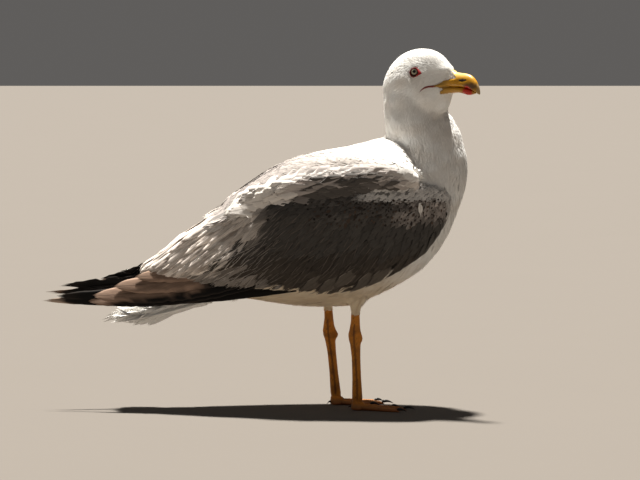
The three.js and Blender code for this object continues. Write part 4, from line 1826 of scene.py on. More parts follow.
@dataclass
class Eye:
    """One eye: its ball, and the red ring of bare skin round it."""

    side: Side
    radius: float = 7.0
    iris: float = 3.4
    pupil: float = 1.75
    ring_inner: float = 3.9
    ring_outer: float = 5.3
    corner: float = 9.7
    look: float = 22.0
    gaze: float = 8.0
    overlap: float = 0.55
    ring_dark: tuple = (0.13, 0.011, 0.012)
    ring_red: tuple = (0.27, 0.012, 0.015)
    # The lids' dark inner edge: partly their own dark rim, partly painted shade under the lids.
    lid_black: tuple = (0.03, 0.006, 0.005)
    lid_pink: tuple = (0.5, 0.3, 0.27)
    iris_dark: tuple = (0.24, 0.21, 0.14)
    iris_pale: tuple = (0.42, 0.39, 0.29)
    iris_rim: tuple = (0.16, 0.13, 0.08)
    ball: tuple = (0.05, 0.02, 0.015)
    black: tuple = (0.004, 0.004, 0.005)

    @property
    def centre(self) -> Array:
        """The ball's centre in the head's axes."""
        return np.array([EYE_X, EYE_SIDE * self.side.value, EYE_Z])

    def _axes(self) -> tuple[Array, Array, Array]:
        """The way it looks, the way to its front corner, and up, in the head's axes."""
        angle = math.radians(90 - self.look) * self.side.value
        look = np.array([math.cos(angle), math.sin(angle), 0.0])
        front = np.array([math.sin(angle), -math.cos(angle), 0.0]) * self.side.value
        return look, front, np.array([0.0, 0.0, 1.0])

    def reach(self, angle: Array) -> Array:
        """The red ring's outer radius at an angle from its front corner, which it runs out to.

        Args:
            angle: Radians from the front corner.

        Returns:
            The radius.
        """
        angle = np.asarray(angle)
        front = np.abs(np.angle(np.exp(1j * (angle + math.radians(6)))))
        back = np.abs(np.angle(np.exp(1j * (angle - math.pi))))
        spread = math.acos(self.ring_outer / self.corner)
        rear = math.acos(self.ring_outer / (self.ring_outer + self.overlap))
        size = self.ring_outer / np.cos(np.maximum(spread - front, 0) * 0.98)
        return np.maximum(size, self.ring_outer / np.cos(np.maximum(rear - back, 0)))

    def opening(self, angle: Array) -> Array:
        """The radius of the gap between the lids at an angle from the front corner.

        Args:
            angle: Radians from the front corner.

        Returns:
            The radius.
        """
        angle = np.asarray(angle)
        oval = self.ring_inner * (1 - 0.055 * np.sin(angle) ** 2)
        front = np.angle(np.exp(1j * (angle + math.radians(8))))
        return oval + 0.3 * np.exp(-((front / 0.4) ** 2))

    def _seen(self, points: Array) -> tuple[Array, Array]:
        """How far ahead and up of the eye places lie, and whether they are on its side.

        Args:
            points: Places in body millimetres.

        Returns:
            Both.
        """
        look, front, up = self._axes()
        local = HEAD.head(points) - self.centre
        return np.stack([local @ front, local @ up], 1), local @ look > 0

    def clearance(self, points: Array) -> Array:
        """How far places on the head lie outside this eye's ring; negative inside it.

        Args:
            points: Places in body millimetres.

        Returns:
            The gaps.
        """
        flat, near_side = self._seen(points)
        radius = np.linalg.norm(flat, axis=1)
        gap = radius - self.reach(np.arctan2(flat[:, 1], flat[:, 0]))
        return np.where(near_side, gap, 99.0)

    def brow(self, points: Array) -> Array:
        """How much places on the head belong to the thin dark line over the eye's front corner.

        Args:
            points: Places in body millimetres.

        Returns:
            The shares.
        """
        flat, near_side = self._seen(points)
        start, end = np.array([1.8, 6.4]), np.array([7.2, 3.4])
        share = np.clip((flat - start) @ (end - start) / ((end - start) @ (end - start)), 0, 1)
        far = np.linalg.norm(flat - start - share[:, None] * (end - start), axis=1)
        under = np.linalg.norm((flat - [1.5, -6.4]) * [0.5, 1.0], axis=1)
        line = np.maximum(smooth(1.1, 0.3, far), 0.5 * smooth(1.1, 0.3, under))
        return np.where(near_side, line, 0.0)

    def _ball(self, axes: Axes) -> bpy.types.Mesh:
        """The eyeball, with rings of points where its colours change.

        Args:
            axes: The part's axes.

        Returns:
            The mesh.
        """
        look, front, up = self._axes()
        rise = math.radians(self.gaze)
        look, up = (
            look * math.cos(rise) + up * math.sin(rise), up * math.cos(rise)
            - look * math.sin(rise)
        )
        bm = bmesh.new()
        bmesh.ops.create_uvsphere(bm, u_segments=64, v_segments=48, radius=1)
        layer = bm.loops.layers.uv.new("iris")
        polar: dict[int, tuple[float, float]] = {}
        for vert in bm.verts:
            a, b, c = vert.co.z, vert.co.x, vert.co.y
            off = math.degrees(math.acos(max(-1.0, min(1.0, a))))
            polar[vert.index] = (off, math.atan2(c, b))
            bulge = 1 + 0.035 * math.exp(-((off / 28) ** 4))
            place = self.centre + (look * a + front * b + up * c) * self.radius * bulge
            vert.co = Vector(axes.world(HEAD.body(place)))
        for face in bm.faces:
            for loop in face.loops:
                off, turn = polar[loop.vert.index]
                flat = off / 180
                loop[layer].uv = (
                    0.5 + 0.5 * flat * math.cos(turn), 0.5 + 0.5 * flat * math.sin(turn)
                )
        bm.normal_update()
        bmesh.ops.recalc_face_normals(bm, faces=bm.faces)
        return smooth_shaded(bm, f"eyeball_{self.side.word}")

    def _ball_material(self) -> bpy.types.Material:
        """Pale iris, black pupil and a dark rim under a clear wet coat."""
        material, g, shader = new_material(f"eyeball_{self.side.word}")
        x, y = (g.math("MULTIPLY_ADD", part, 2.0, -1.0) for part in g.map_parts("iris"))
        far = g.math("SQRT", g.math("ADD", g.math("MULTIPLY", x, x), g.math("MULTIPLY", y, y)))
        pupil = math.degrees(math.asin(self.pupil / self.radius)) / 180
        iris = math.degrees(math.asin(self.iris / self.radius)) / 180
        spin = g.math("ARCTAN2", y, x)
        rays = g.noise(
            g.vector(g.math("MULTIPLY", spin, 6.0), g.math("MULTIPLY", far, 9.0), 0.0), 1.6, 3.0
        )
        tone_in = g.blend(rays, rgb(self.iris_dark), rgb(self.iris_pale))
        rim = g.step(far, iris * 0.78, iris * 1.02)
        colour = g.blend(rim, tone_in, rgb(self.iris_rim))
        colour = g.blend(g.step(far, iris * 1.0, iris * 1.06), colour, rgb(self.ball))
        colour = g.blend(g.step(far, pupil * 1.12, pupil * 0.95), colour, rgb(self.black))
        g.finish(
            shader, colour, Roughness=0.4, Specular_IOR_Level=0.0,
            Coat_Weight=1.0, Coat_IOR=1.36, Coat_Roughness=0.02,
        )
        return material

    def _ring(self, axes: Axes, body: Surface) -> bpy.types.Mesh:
        """The lids and the red ring around them, laid onto the head.

        Args:
            axes: The part's axes.
            body: The body they lie on.

        Returns:
            The mesh.
        """
        look, front, up = self._axes()
        bm = bmesh.new()
        turns, rows = 96, 10
        bmesh.ops.create_grid(bm, x_segments=turns, y_segments=rows, size=0.5)
        points, shares = [], []
        for vert in bm.verts:
            angle = np.array((vert.co.x + 0.5) * 2 * math.pi)
            share = vert.co.y + 0.5
            inner, outer = float(self.opening(angle)), float(self.reach(angle)) + self.overlap
            radius = inner + (outer - inner) * share
            offset = front * radius * math.cos(angle) + up * radius * math.sin(angle)
            points.append(HEAD.body(self.centre + look * self.radius + offset))
            shares.append((share, radius))
        near, normals = body.nearest(np.array(points))
        centre = HEAD.body(self.centre)
        for vert, start, place, normal, (share, radius) in zip(
            bm.verts, points, near, normals, shares
        ):
            ball = math.sqrt(max(self.radius**2 - radius**2, 4.0)) + 0.12
            flat = start - HEAD.way(look) * float((start - centre) @ HEAD.way(look))
            on_ball = flat + HEAD.way(look) * ball
            lean = float(smooth(self.ring_inner, self.ring_outer, np.array(radius)))
            crest = 0.45 * math.sin(math.pi * min(share * 1.3, 1.0))
            goal = place + normal * (0.3 - 0.75 * float(smooth(0.85, 1.0, np.array(share))))
            vert.co = Vector(axes.world(on_ball * (1 - lean) + goal * lean + normal * crest))
        bmesh.ops.remove_doubles(bm, verts=bm.verts, dist=0.02 * MM)
        bmesh.ops.recalc_face_normals(bm, faces=bm.faces)
        bm.normal_update()
        bmesh.ops.solidify(bm, geom=bm.faces[:], thickness=0.35 * MM)
        bmesh.ops.recalc_face_normals(bm, faces=bm.faces)
        mesh = smooth_shaded(bm, f"eye_ring_{self.side.word}")
        flat, _ = self._seen(read_points(mesh, axes)[0])
        turn = np.arctan2(flat[:, 1], flat[:, 0])
        radius = np.linalg.norm(flat, axis=1)
        share = (radius - self.opening(turn)) / (self.reach(turn) - self.opening(turn))
        red = mix(self.ring_dark, self.ring_red, smooth(0.3, 0.9, np.cos(turn)))
        # Darker towards the opening: the lids' own dark rim with painted shade under the lids.
        tint = mix(self.lid_black, red, smooth(0.12, 0.5, share))
        tint = mix(
            tint, self.lid_pink, 0.75 * smooth(0.82, 1.0, share) * smooth(-0.3, -0.7, np.sin(turn))
        )
        paint(mesh, "tint", tint)
        return mesh

    def build(self, shell: Shell) -> None:
        """Builds the ball and its ring.

        Args:
            shell: The surfaces of the bird.
        """
        ball = add_piece(
            f"eyeball_{self.side.word}", self._ball(shell.axes), Slot.EYE, self._ball_material()
        )
        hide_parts(f"eye_{self.side.word}")
        finish = MottledFinish(
            f"eye_ring_{self.side.word}", coarse=700.0, fine=2400.0, strength=0.7, roughness=0.65,
            specular=0.12, relief=Relief.GRAIN,
        )
        ring = self._ring(shell.axes, shell.body)
        add_piece(f"eye_ring_{self.side.word}", ring, Slot.FLESH, finish.material())


@dataclass
class Gape:
    """The line of bare skin that runs back from the corner of the mouth."""

    side: Side
    path: tuple = (
        (44, 354.0), (41.4, 354.3), (36, 353.8), (32.3, 352.6), (29.2, 350.5), (26.2, 347.2)
    )
    half_width: tuple = (0.8, 1.05, 1.0, 0.8, 0.5, 0.15)
    colour: tuple = (0.16, 0.014, 0.01)
    steps: int = 40

    def line(self, body: Surface) -> Array:
        """The line's places on the head.

        Args:
            body: The body's surface.

        Returns:
            Evenly spread points in body millimetres.
        """
        steps = np.linspace(0, len(self.path) - 1, self.steps)
        x = np.interp(steps, range(len(self.path)), [p[0] for p in self.path])
        z = np.interp(steps, range(len(self.path)), [p[1] for p in self.path])
        return body.from_side(x, z, self.side, head=True)[0]

    def build(self, shell: Shell) -> Array:
        """Builds the strip.

        Args:
            shell: The surfaces of the bird.

        Returns:
            The strip's middle line, which feathers keep clear of.
        """
        line = self.line(shell.body)
        near, normals = shell.body.nearest(line)
        ways = unit(np.gradient(line, axis=0))
        count = len(self.half_width)
        sizes = np.interp(np.linspace(0, count - 1, self.steps), range(count), self.half_width)

        def place(share: float, angle: float) -> Array:
            """A point of the fold of skin.

            Args:
                share: From 0 to 1 along the form.
                angle: Angle around it, in radians.

            Returns:
                The point.
            """
            i = min(int(share * (self.steps - 1)), self.steps - 2)
            f = share * (self.steps - 1) - i
            centre = near[i] * (1 - f) + near[i + 1] * f
            normal, way = normals[i], ways[i]
            size = sizes[i] * math.sqrt(max(0.0, 1 - (2 * share - 1) ** 8))
            flat = np.cross(way, normal)
            return centre + flat * size * math.cos(angle) + normal * (
                0.55 * size * math.sin(angle) - 0.15
            )

        mesh = smooth_shaded(loft(14, 60, place, shell.axes), "gape")
        finish = MottledFinish(
            f"gape_{self.side.word}", coarse=300.0, fine=1500.0, strength=1.1, roughness=0.5,
            colour=self.colour
        )
        add_piece(f"gape_{self.side.word}", mesh, Slot.FLESH, finish.material())
        return line


# ---------------------------------------------------------------- the small feathers


@dataclass
class BodyCoat:
    """The white coat from the bill to the tail, in pieces that meet without a break."""

    seed: int = 11
    fine: Vane = Vane(
        lanes=3, rows=2, root=0.7, widest=0.4, tip=0.72, round_tip=0.16, ragged=0.17, cup=0.1
    )
    broad: Vane = Vane(
        lanes=4, rows=3, root=0.65, widest=0.45, tip=0.66, round_tip=0.2, ragged=0.17, cup=0.16
    )

    def length(self, points: Array) -> Array:
        """The feathers' length at places on the body.

        Args:
            points: Places in body millimetres.

        Returns:
            The lengths.
        """
        z = points[:, 2]
        far = np.linalg.norm(HEAD.head(points) - BILL_ROOT, axis=1)
        size = 2.4 + 5.4 * smooth(0, 88, far)
        size = size + 4.2 * smooth(338, 268, z) + 4.6 * smooth(275, 190, z)
        return size * (1 - 0.35 * smooth(122, 108, z) * smooth(-30, -10, points[:, 0]))

    def build(self, shell: Shell, eyes: list[Eye], gapes: list[Array]) -> None:
        """Grows the coat.

        Args:
            shell: The surfaces of the bird.
            eyes: The eyes, which feathers keep clear of.
            gapes: The lines at the mouth's corners, likewise.
        """

        def spacing(points: Array) -> Array:
            """Distance between feathers, in step with their length.

            Args:
                points: Places in body millimetres.

            Returns:
                Distance to keep between feathers, 0 where none grow.
            """
            gap = 0.46 + 0.125 * self.length(points)
            return np.where(self._bare(points, shell, eyes, gapes), 0.0, gap)

        roots = shell.body.scatter(spacing, self.seed, 4.0)
        roots = roots[(shell.outer.depth(roots) < 2.0) & (wing_share(roots) < 0.75)]
        near, normals = shell.body.nearest(roots)
        rng = np.random.default_rng(self.seed)
        length = self.length(near) * rng.uniform(0.85, 1.15, len(near))
        half = (0.42 + 0.118 * length) * rng.uniform(0.85, 1.15, len(near))
        lift = rng.uniform(-0.12, 0.22, len(near)) * (0.5 + length / 12)
        lift = lift * (1 - 0.85 * smooth(55, 72, near[:, 0]) * smooth(335, 325, near[:, 2]))
        lift = np.where((np.abs(cape(near) + 6) < 7) & (np.abs(near[:, 2] - 257) < 14), -0.5, lift)
        spread = rng.normal(0, 0.13, (len(near), 3))
        way = unit(lie(near, normals) + spread)
        for eye in eyes:
            for _ in range(7):
                length = np.where(
                    eye.clearance(near + way * length[:, None]) < 0.1, 0.72 * length, length
                )
        tint = tone(near) * (1 + rng.normal(0, 0.022, (len(near), 1)))
        tint = tint * (1 - 0.05 * ripple(near, 26, 4)[:, None] * np.array([0.6, 0.9, 1.2]))
        for eye in eyes:
            tint = mix(tint, FACE_LINE, eye.brow(near) * rng.uniform(0.5, 1.0, len(near)))
        marks = marks_for(0.0, 0.0, rng.random(len(near)))
        tips = 0.06 + lift * (1 - 0.6 * smooth(330, 350, near[:, 2]))
        nowhere = np.zeros((len(near), 2))
        plumes = Plumes(
            near, normals, way, length, half, -0.16 * length - 0.3, tips, tint, marks, nowhere
        )
        self._pieces(shell, plumes)

    def _bare(self, points: Array, shell: Shell, eyes: list[Eye], gapes: list[Array]) -> Array:
        """Where nothing grows: on the bill, the eye rings, the gape and the legs.

        Args:
            points: Places in body millimetres.
            shell: The bird's body.
            eyes: The eyes.
            gapes: The gapes' lines.

        Returns:
            True where bare.
        """
        bare = points[:, 2] < 101.5
        head = points[:, 2] > 325
        if head.any():
            face = points[head]
            blocked = is_horn(face, shell.body.nearest(face)[1], 0.5, 1.8)
            for eye in eyes:
                blocked |= eye.clearance(face) < 0.15
            for line in gapes:
                blocked |= np.linalg.norm(face[:, None] - line[None], axis=-1).min(1) < 0.75
            bare[head] |= blocked
        return bare

    def _pieces(self, shell: Shell, plumes: Plumes) -> None:
        """Parts the coat into pieces and weaves each.

        Args:
            shell: The bird's body.
            plumes: The coat's feathers.
        """
        x, y, z = plumes.roots.T
        local = HEAD.head(plumes.roots)
        back = (
            (z > np.maximum(table(SHOULDER, 1, x) - 17, 236)) & (cape(plumes.roots) > -1.0)
            & (x > -140) & (z < 306)
        )
        head = z > 322
        neck = ~head & (z > 238) & (x > 28)
        right, left = y < 0, y >= 0
        body = ~head & ~neck & ~back
        parts = {
            "coat_face_right": head & (local[:, 1] < 0),
            "coat_face_left": head & (local[:, 1] >= 0),
            "coat_neck_right": neck & right, "coat_neck_left": neck & left,
            "coat_body_right": body & right, "coat_body_left": body & left,
        }
        finish = FeatherFinish(
            "white_plumage", dark=(0.5, 0.47, 0.44), barbs=0.16, roughness=0.8, sheen=0.12,
            relief=0.1,
        )
        material = finish.material()
        for seed, (name, chosen) in enumerate(parts.items()):
            group = plumes.kept(chosen)
            p = group.roots
            if "face" in name:
                q = HEAD.head(p) - np.array([5.0, 0, 355.0])
                group.place = np.stack([np.arctan2(q[:, 1], q[:, 2]), np.arccos(unit(q)[:, 0])], 1)
            elif "neck" in name:
                group.place = np.stack([np.arctan2(p[:, 1], p[:, 0] - 70), p[:, 2] / 60], 1)
            else:
                group.place = np.stack([p[:, 0], np.arctan2(p[:, 1], p[:, 2] - 200)], 1)
            vane = self.fine if "face" in name else self.broad
            spines = group.spines(shell.body, 2, lie, 1.0)
            mesh = weave(name, vane, group, spines, shell.axes, 0.003, seed)
            add_piece(name, mesh, Slot.WHITE, material)


# ---------------------------------------------------------------- the wing and back


def side_grid(
    spacing: Callable[[Array, Array], Array], x_range: tuple[float, float],
    z_range: tuple[float, float], seed: int
) -> tuple[Array, Array]:
    """Spreads places over the bird's side as seen level from that side.

    Args:
        spacing: The gap between feathers at x and z, or zero where none grow.
        x_range: The least and greatest x.
        z_range: The least and greatest height.
        seed: Seeds the choice.

    Returns:
        The places' x and z.
    """
    rng = np.random.default_rng(seed)
    x = rng.uniform(*x_range, 60000)
    z = rng.uniform(*z_range, 60000)
    gap = spacing(x, z)
    x, z, gap = x[gap > 0], z[gap > 0], gap[gap > 0]
    kept = thin_out(flat_places(x, z), gap)
    return x[kept], z[kept]


@dataclass
class SideTract:
    """A tract of larger feathers on one side of the bird."""

    side: Side
    shell: Shell

    def plumes(
        self, x: Array, z: Array, slope: Array, length: Array, half: Array,
        heights: tuple[float, float],
        tint: Array, dark: Array, fringe: Array, seed: int, lift: Array | float = 0.0,
    ) -> Plumes:
        """Plants feathers where level lines from the side meet the bird.

        Args:
            x: Places along the body.
            z: Heights.
            slope: Degrees that each feather points below level, to the rear.
            length: Lengths.
            half: Half widths.
            heights: How deep the root lies, as a share of the length, and how high the tip.
            tint: Colours.
            dark: How dark each middle is, from 0 to 1.
            fringe: How pale each edge is, from 0 to 1.
            seed: Seeds their unevenness.
            lift: Raises the tips further.

        Returns:
            The feathers.
        """
        rng = np.random.default_rng(seed)
        places, normals, met = self.shell.outer.from_side(x, z, self.side)
        angle = np.radians(slope + rng.normal(0, 3.5, len(x)))
        ways = np.stack([-np.cos(angle), np.zeros_like(angle), -np.sin(angle)], 1)
        count = len(x)
        made = Plumes(
            places, normals, ways, length, half,
            -0.3 - heights[0] * length, heights[1] + lift + rng.uniform(-0.12, 0.2, count),
            tint, marks_for(dark, fringe, rng.random(count)), np.stack([x, z], 1),
        )
        return made.kept(met)

    def grow(
        self, layer: str, slot: Slot, vane: Vane, plumes: Plumes, steps: int, follow: float,
        patch: float,
        seed: int, **finish: object,
    ) -> None:
        """Weaves one layer of this side and adds it as a piece.

        Args:
            layer: The layer's name, without its side.
            slot: The record's slot of its finish.
            vane: The feathers' shared shape.
            plumes: The feathers.
            steps: How many lengths each feather's line has.
            follow: How closely the feathers keep to the body, from 0 to 1.
            patch: Size of each feather's patch on the bake map.
            seed: Seeds their unevenness.
            **finish: Settings of the feather finish.
        """
        name = f"{layer}_{self.side.word}"
        spines = plumes.spines(self.shell.outer, steps, None, follow)
        mesh = weave(name, vane, plumes, spines, self.shell.axes, patch, seed)
        add_piece(name, mesh, slot, FeatherFinish(name, **finish).material())


def wing_slope(x: Array, z: Array) -> Array:
    """How steeply the wing's feathers point below level, in degrees."""
    slope = np.interp(x, [-235, -180, -110, -40, 40, 100], [20, 26, 33, 40, 47, 58])
    return slope * (0.45 + 0.55 * smooth(250, 205, z))


@dataclass
class WingCoat(SideTract):
    """The folded wing's coverts and the long feathers behind them."""

    covert: Vane = Vane(
        lanes=6, rows=5, root=0.45, widest=0.55, tip=0.5, round_tip=0.34, ragged=0.07, cup=0.05,
        thickness=0.1
    )
    long: Vane = Vane(
        lanes=4, rows=8, root=0.5, widest=0.5, tip=0.25, round_tip=0.1, ragged=0.07, cup=0.2,
        thickness=0.2, worn=0.25
    )
    spot: Vane = Vane(
        lanes=3, rows=3, root=0.4, widest=0.5, tip=0.6, round_tip=0.25, ragged=0.3, cup=0.05,
        worn=0.35,
    )
    wisp: Vane = Vane(
        lanes=2, rows=4, root=0.6, widest=0.5, tip=0.4, round_tip=0.1, ragged=0.25, cup=0.1
    )
    # The soft feathers over the thigh: x, height, slope in degrees and how pale the fringe is.
    loose: tuple = (
        (24, 155, 49, 0.9), (4, 157, 51, 1.0), (-12, 150, 44, 0.6), (40, 160, 47, 0.5),
        (-30, 150, 38, 0.5)
    )

    def covert_length(self, x: Array, z: Array) -> Array:
        """The coverts' length, short at the wing's front edge and long towards its rear.

        Args:
            x: How far forward.
            z: Heights.

        Returns:
            The lengths.
        """
        size = np.interp(z, [140, 180, 200, 215, 228, 248], [46, 40, 27, 17, 10, 7])
        size = size + 14 * smooth(-10, -100, x) * smooth(250, 215, z)
        return size + (7 - size) * smooth(92, 101, x)

    def build(self) -> None:
        """Grows every layer of the wing."""
        seed = 100 + self.side.value
        self._long(seed + 10)
        self._coverts(seed + 20)
        self._spots(seed + 40)
        self._wisps(seed + 30)
        self._loose(seed + 30)

    def _inside(self, x: Array, z: Array, low: float, high: float) -> Array:
        """Whether places lie inside the wing, so far from its edges.

        Args:
            x: How far forward.
            z: Heights.
            low: Margin at the lower edge.
            high: Margin at the upper edge.

        Returns:
            True inside.
        """
        upper = np.minimum(table(WING, 1, x), table(SHOULDER, 2, x) + 1.5 + 60 * (x < -141))
        return (z > table(WING, 2, x) + low) & (z < upper + high) & (x > -236) & (x < 108)

    def _coverts(self, seed: int) -> None:
        """The rows of brown feathers that cover the wing.

        Args:
            seed: Seeds the random numbers.
        """
        def spacing(x: Array, z: Array) -> Array:
            """Distance between coverts, closer at the front.

            Args:
                x: How far forward.
                z: Heights.

            Returns:
                Distance to keep between feathers, 0 where none grow.
            """
            gap = (1.2 + 0.17 * self.covert_length(x, z)) * (1 - 0.4 * smooth(88, 104, x))
            return np.where(self._inside(x, z, 1.5, 1) & (x > -128), gap, 0)

        x, z = side_grid(spacing, (-130, 108), (125, 256), seed)
        rng = np.random.default_rng(seed)
        count = len(x)
        slope = wing_slope(x, z)
        length = self.covert_length(x, z) * rng.uniform(0.8, 1.2, count)
        drop = np.maximum(z - table(WING, 2, x - length * 0.5) + 3, 5) / np.sin(np.radians(slope))
        length = np.minimum(length, drop)
        half = (0.9 + 0.15 * length) * rng.uniform(0.85, 1.1, count)
        down = 0.55 * length * smooth(240, 225, z)
        tint, spots, edge = covert_tone(
            x - down * np.cos(np.radians(slope)), z - down * np.sin(np.radians(slope))
        )
        tint = tint * (1 + rng.normal(0, 0.05 + 0.17 * spots[:, None], (count, 1)))
        chance = rng.random(count)
        dark = spots * 0.5 * (chance > 0.5) * chance
        fringe = (
            0.03 + 0.15 * spots * chance + 0.3 * smooth(-40, -110, x)
            + 0.3 * smooth(160, 138, z) * (chance > 0.6)
        )
        plumes = self.plumes(
            x, z, slope, length, half, (0.045, 0.1), tint, dark, fringe * (1 - edge), seed
        )
        finish = {"barbs": 0.7, "pale": (0.24, 0.21, 0.18), "relief": 0.3}
        self.grow("coverts", Slot.WING, self.covert, plumes, 4, 0.85, 0.012, seed, **finish)

    def _spots(self, seed: int) -> None:
        """Small dark worn feathers scattered over the front of the wing, and one white one.

        Args:
            seed: Seeds the random numbers.
        """

        def spacing(x: Array, z: Array) -> Array:
            """Distance between the dark feathers.

            Args:
                x: How far forward.
                z: Heights.

            Returns:
                Distance to keep between feathers, 0 where none grow.
            """
            spots = covert_tone(x, z)[1]
            cluster = ripple(flat_places(x, 1.6 * z), 15, 23)
            gap = 2.9 + 2.2 * smooth(0.4, -0.5, cluster) + 1.2 * smooth(30, -20, x)
            row = (np.abs(z - 229.5 - 0.02 * x) < 1.7) & (x > 4) & (x < 98)
            gap = np.where(row, 2.7, gap)
            return np.where(self._inside(x, z, 6, -1) & ((spots > 0.25) | row), gap, 0)

        x, z = side_grid(spacing, (-60, 107), (188, 240), seed)
        rng = np.random.default_rng(seed)
        count = len(x)
        length = rng.uniform(1.8, 3.9, count) * (1 + 0.7 * (rng.random(count) > 0.88)) * (
            1 - 0.35 * smooth(228, 236, z)
        )
        half = length * rng.uniform(0.22, 0.38, count)
        tint = mix(SPOT_BLACK, SPOT_BROWN, rng.random(count) ** 1.6)
        slope = wing_slope(x, z) + rng.normal(0, 28, count)
        white = np.argmin((x - 70.5) ** 2 + (z - 228) ** 2)
        length[white], half[white], tint[white], slope[white] = 14.5, 2.9, SPOT_WHITE, 84
        zeros = np.zeros(count)
        plumes = self.plumes(
            x, z, slope, length, half, (-0.05, 0.5), tint, zeros, zeros, seed, np.where(
                np.arange(count) == white, 0.8, 0
            )
        )
        self.grow("spots", Slot.WING, self.spot, plumes, 2, 1.0, 0.006, seed)

    def _long(self, seed: int) -> None:
        """The long pale feathers at the rear of the wing.

        Args:
            seed: Seeds the random numbers.
        """
        def spacing(x: Array, z: Array) -> Array:
            """Distance between the long feathers, 0 where none grow."""
            return np.where(self._inside(x, z, 3, 6) & (x < -80 - 0.25 * (z - 150)), 6.6, 0)

        x, z = side_grid(spacing, (-232, -70), (138, 256), seed)
        rng = np.random.default_rng(seed)
        count = len(x)
        slope = wing_slope(x, z) + 3
        length = np.interp(x, [-230, -180, -120], [34, 56, 66]) * rng.uniform(0.8, 1.2, count)
        drop = np.maximum(z - table(WING, 2, x - length * 0.6) + 4, 4) / np.sin(np.radians(slope))
        length = np.minimum(length, drop)
        half = rng.uniform(2.6, 5.4, count) * np.clip(length / 50, 0.6, 1)
        drift = ripple(flat_places(x, z), 26, 12)
        brown = smooth(
            0.2, 0.6,
            drift + rng.normal(0, 0.35, count) - 0.8 * smooth(14, 0, table(WING, 1, x) - z),
        )
        # The tertials' pale tone is raised by about a sixth as painted sunlight; outside the pale
        # zone they take painted shade.
        tint = mix(TERTIAL * 1.16, TERTIAL_BROWN, 0.5 * brown)
        shade = 1 - rear_pale_sunlit(x - 10, z)
        tint = mix(tint, LONG_SHADED, 0.85 * shade)
        tint = tint * (1 + rng.normal(0, 0.14, (count, 1)))
        plumes = self.plumes(
            x, z, slope, length, half, (0.06, 0.4), tint,
            rng.uniform(0.0, 0.5, count) * (1 - shade),
            rng.uniform(0.5, 1, count) * (1 - 0.6 * shade), seed, 1.2 * rng.random(count) ** 2,
        )
        self.grow("long_coverts", Slot.WING, self.long, plumes, 5, 0.8, 0.02, seed, **WORN_PALE)

    def _wisps(self, seed: int) -> None:
        """Loose barbs over the long feathers.

        Args:
            seed: Seeds the random numbers.
        """

        def spacing(x: Array, z: Array) -> Array:
            """Distance between the loose barbs.

            Args:
                x: How far forward.
                z: Heights.

            Returns:
                Distance to keep between feathers, 0 where none grow.
            """
            gap = 5.5 - 1.2 * smooth(-20, -120, x)
            return np.where(self._inside(x, z, 4, -6) & (z < 196 - 0.4 * x), gap, 0)

        x, z = side_grid(spacing, (-225, 95), (130, 240), seed)
        rng = np.random.default_rng(seed)
        count = len(x)
        length = rng.uniform(8, 20, count)
        half = rng.uniform(0.18, 0.42, count)
        tint = (
            mix(WISP_FRONT, WISP_REAR, smooth(-60, -150, x) * smooth(135, 150, z))
            * rng.uniform(0.5, 1.1, (count, 1))
        )
        slope = wing_slope(x, z) + rng.normal(0, 7, count) + 6
        plumes = self.plumes(
            x, z, slope, length, half, (0.0, 0.5), tint, np.zeros(count), np.zeros(count), seed
        )
        self.grow("wisps", Slot.WING, self.wisp, plumes, 4, 0.9, 0.006, seed, barbs=0.3)

    def _loose(self, seed: int) -> None:
        """The big soft feathers over the thigh.

        Args:
            seed: Seeds the random numbers.
        """
        x, z, slope, fringe = np.array(self.loose).T
        ones = np.ones(len(x))
        plumes = self.plumes(
            x, z, slope, 37 * ones, 6.6 * ones, (0.02, 1.0), np.tile(
                LOOSE_COVERT, (len(x), 1)
            ), 0 * ones,
            fringe, seed, 0.8,
        )
        finish = {"pale": (0.26, 0.22, 0.185), "barbs": 0.8, "relief": 0.3}
        self.grow("loose_coverts", Slot.WING, self.covert, plumes, 5, 0.85, 0.05, seed, **finish)


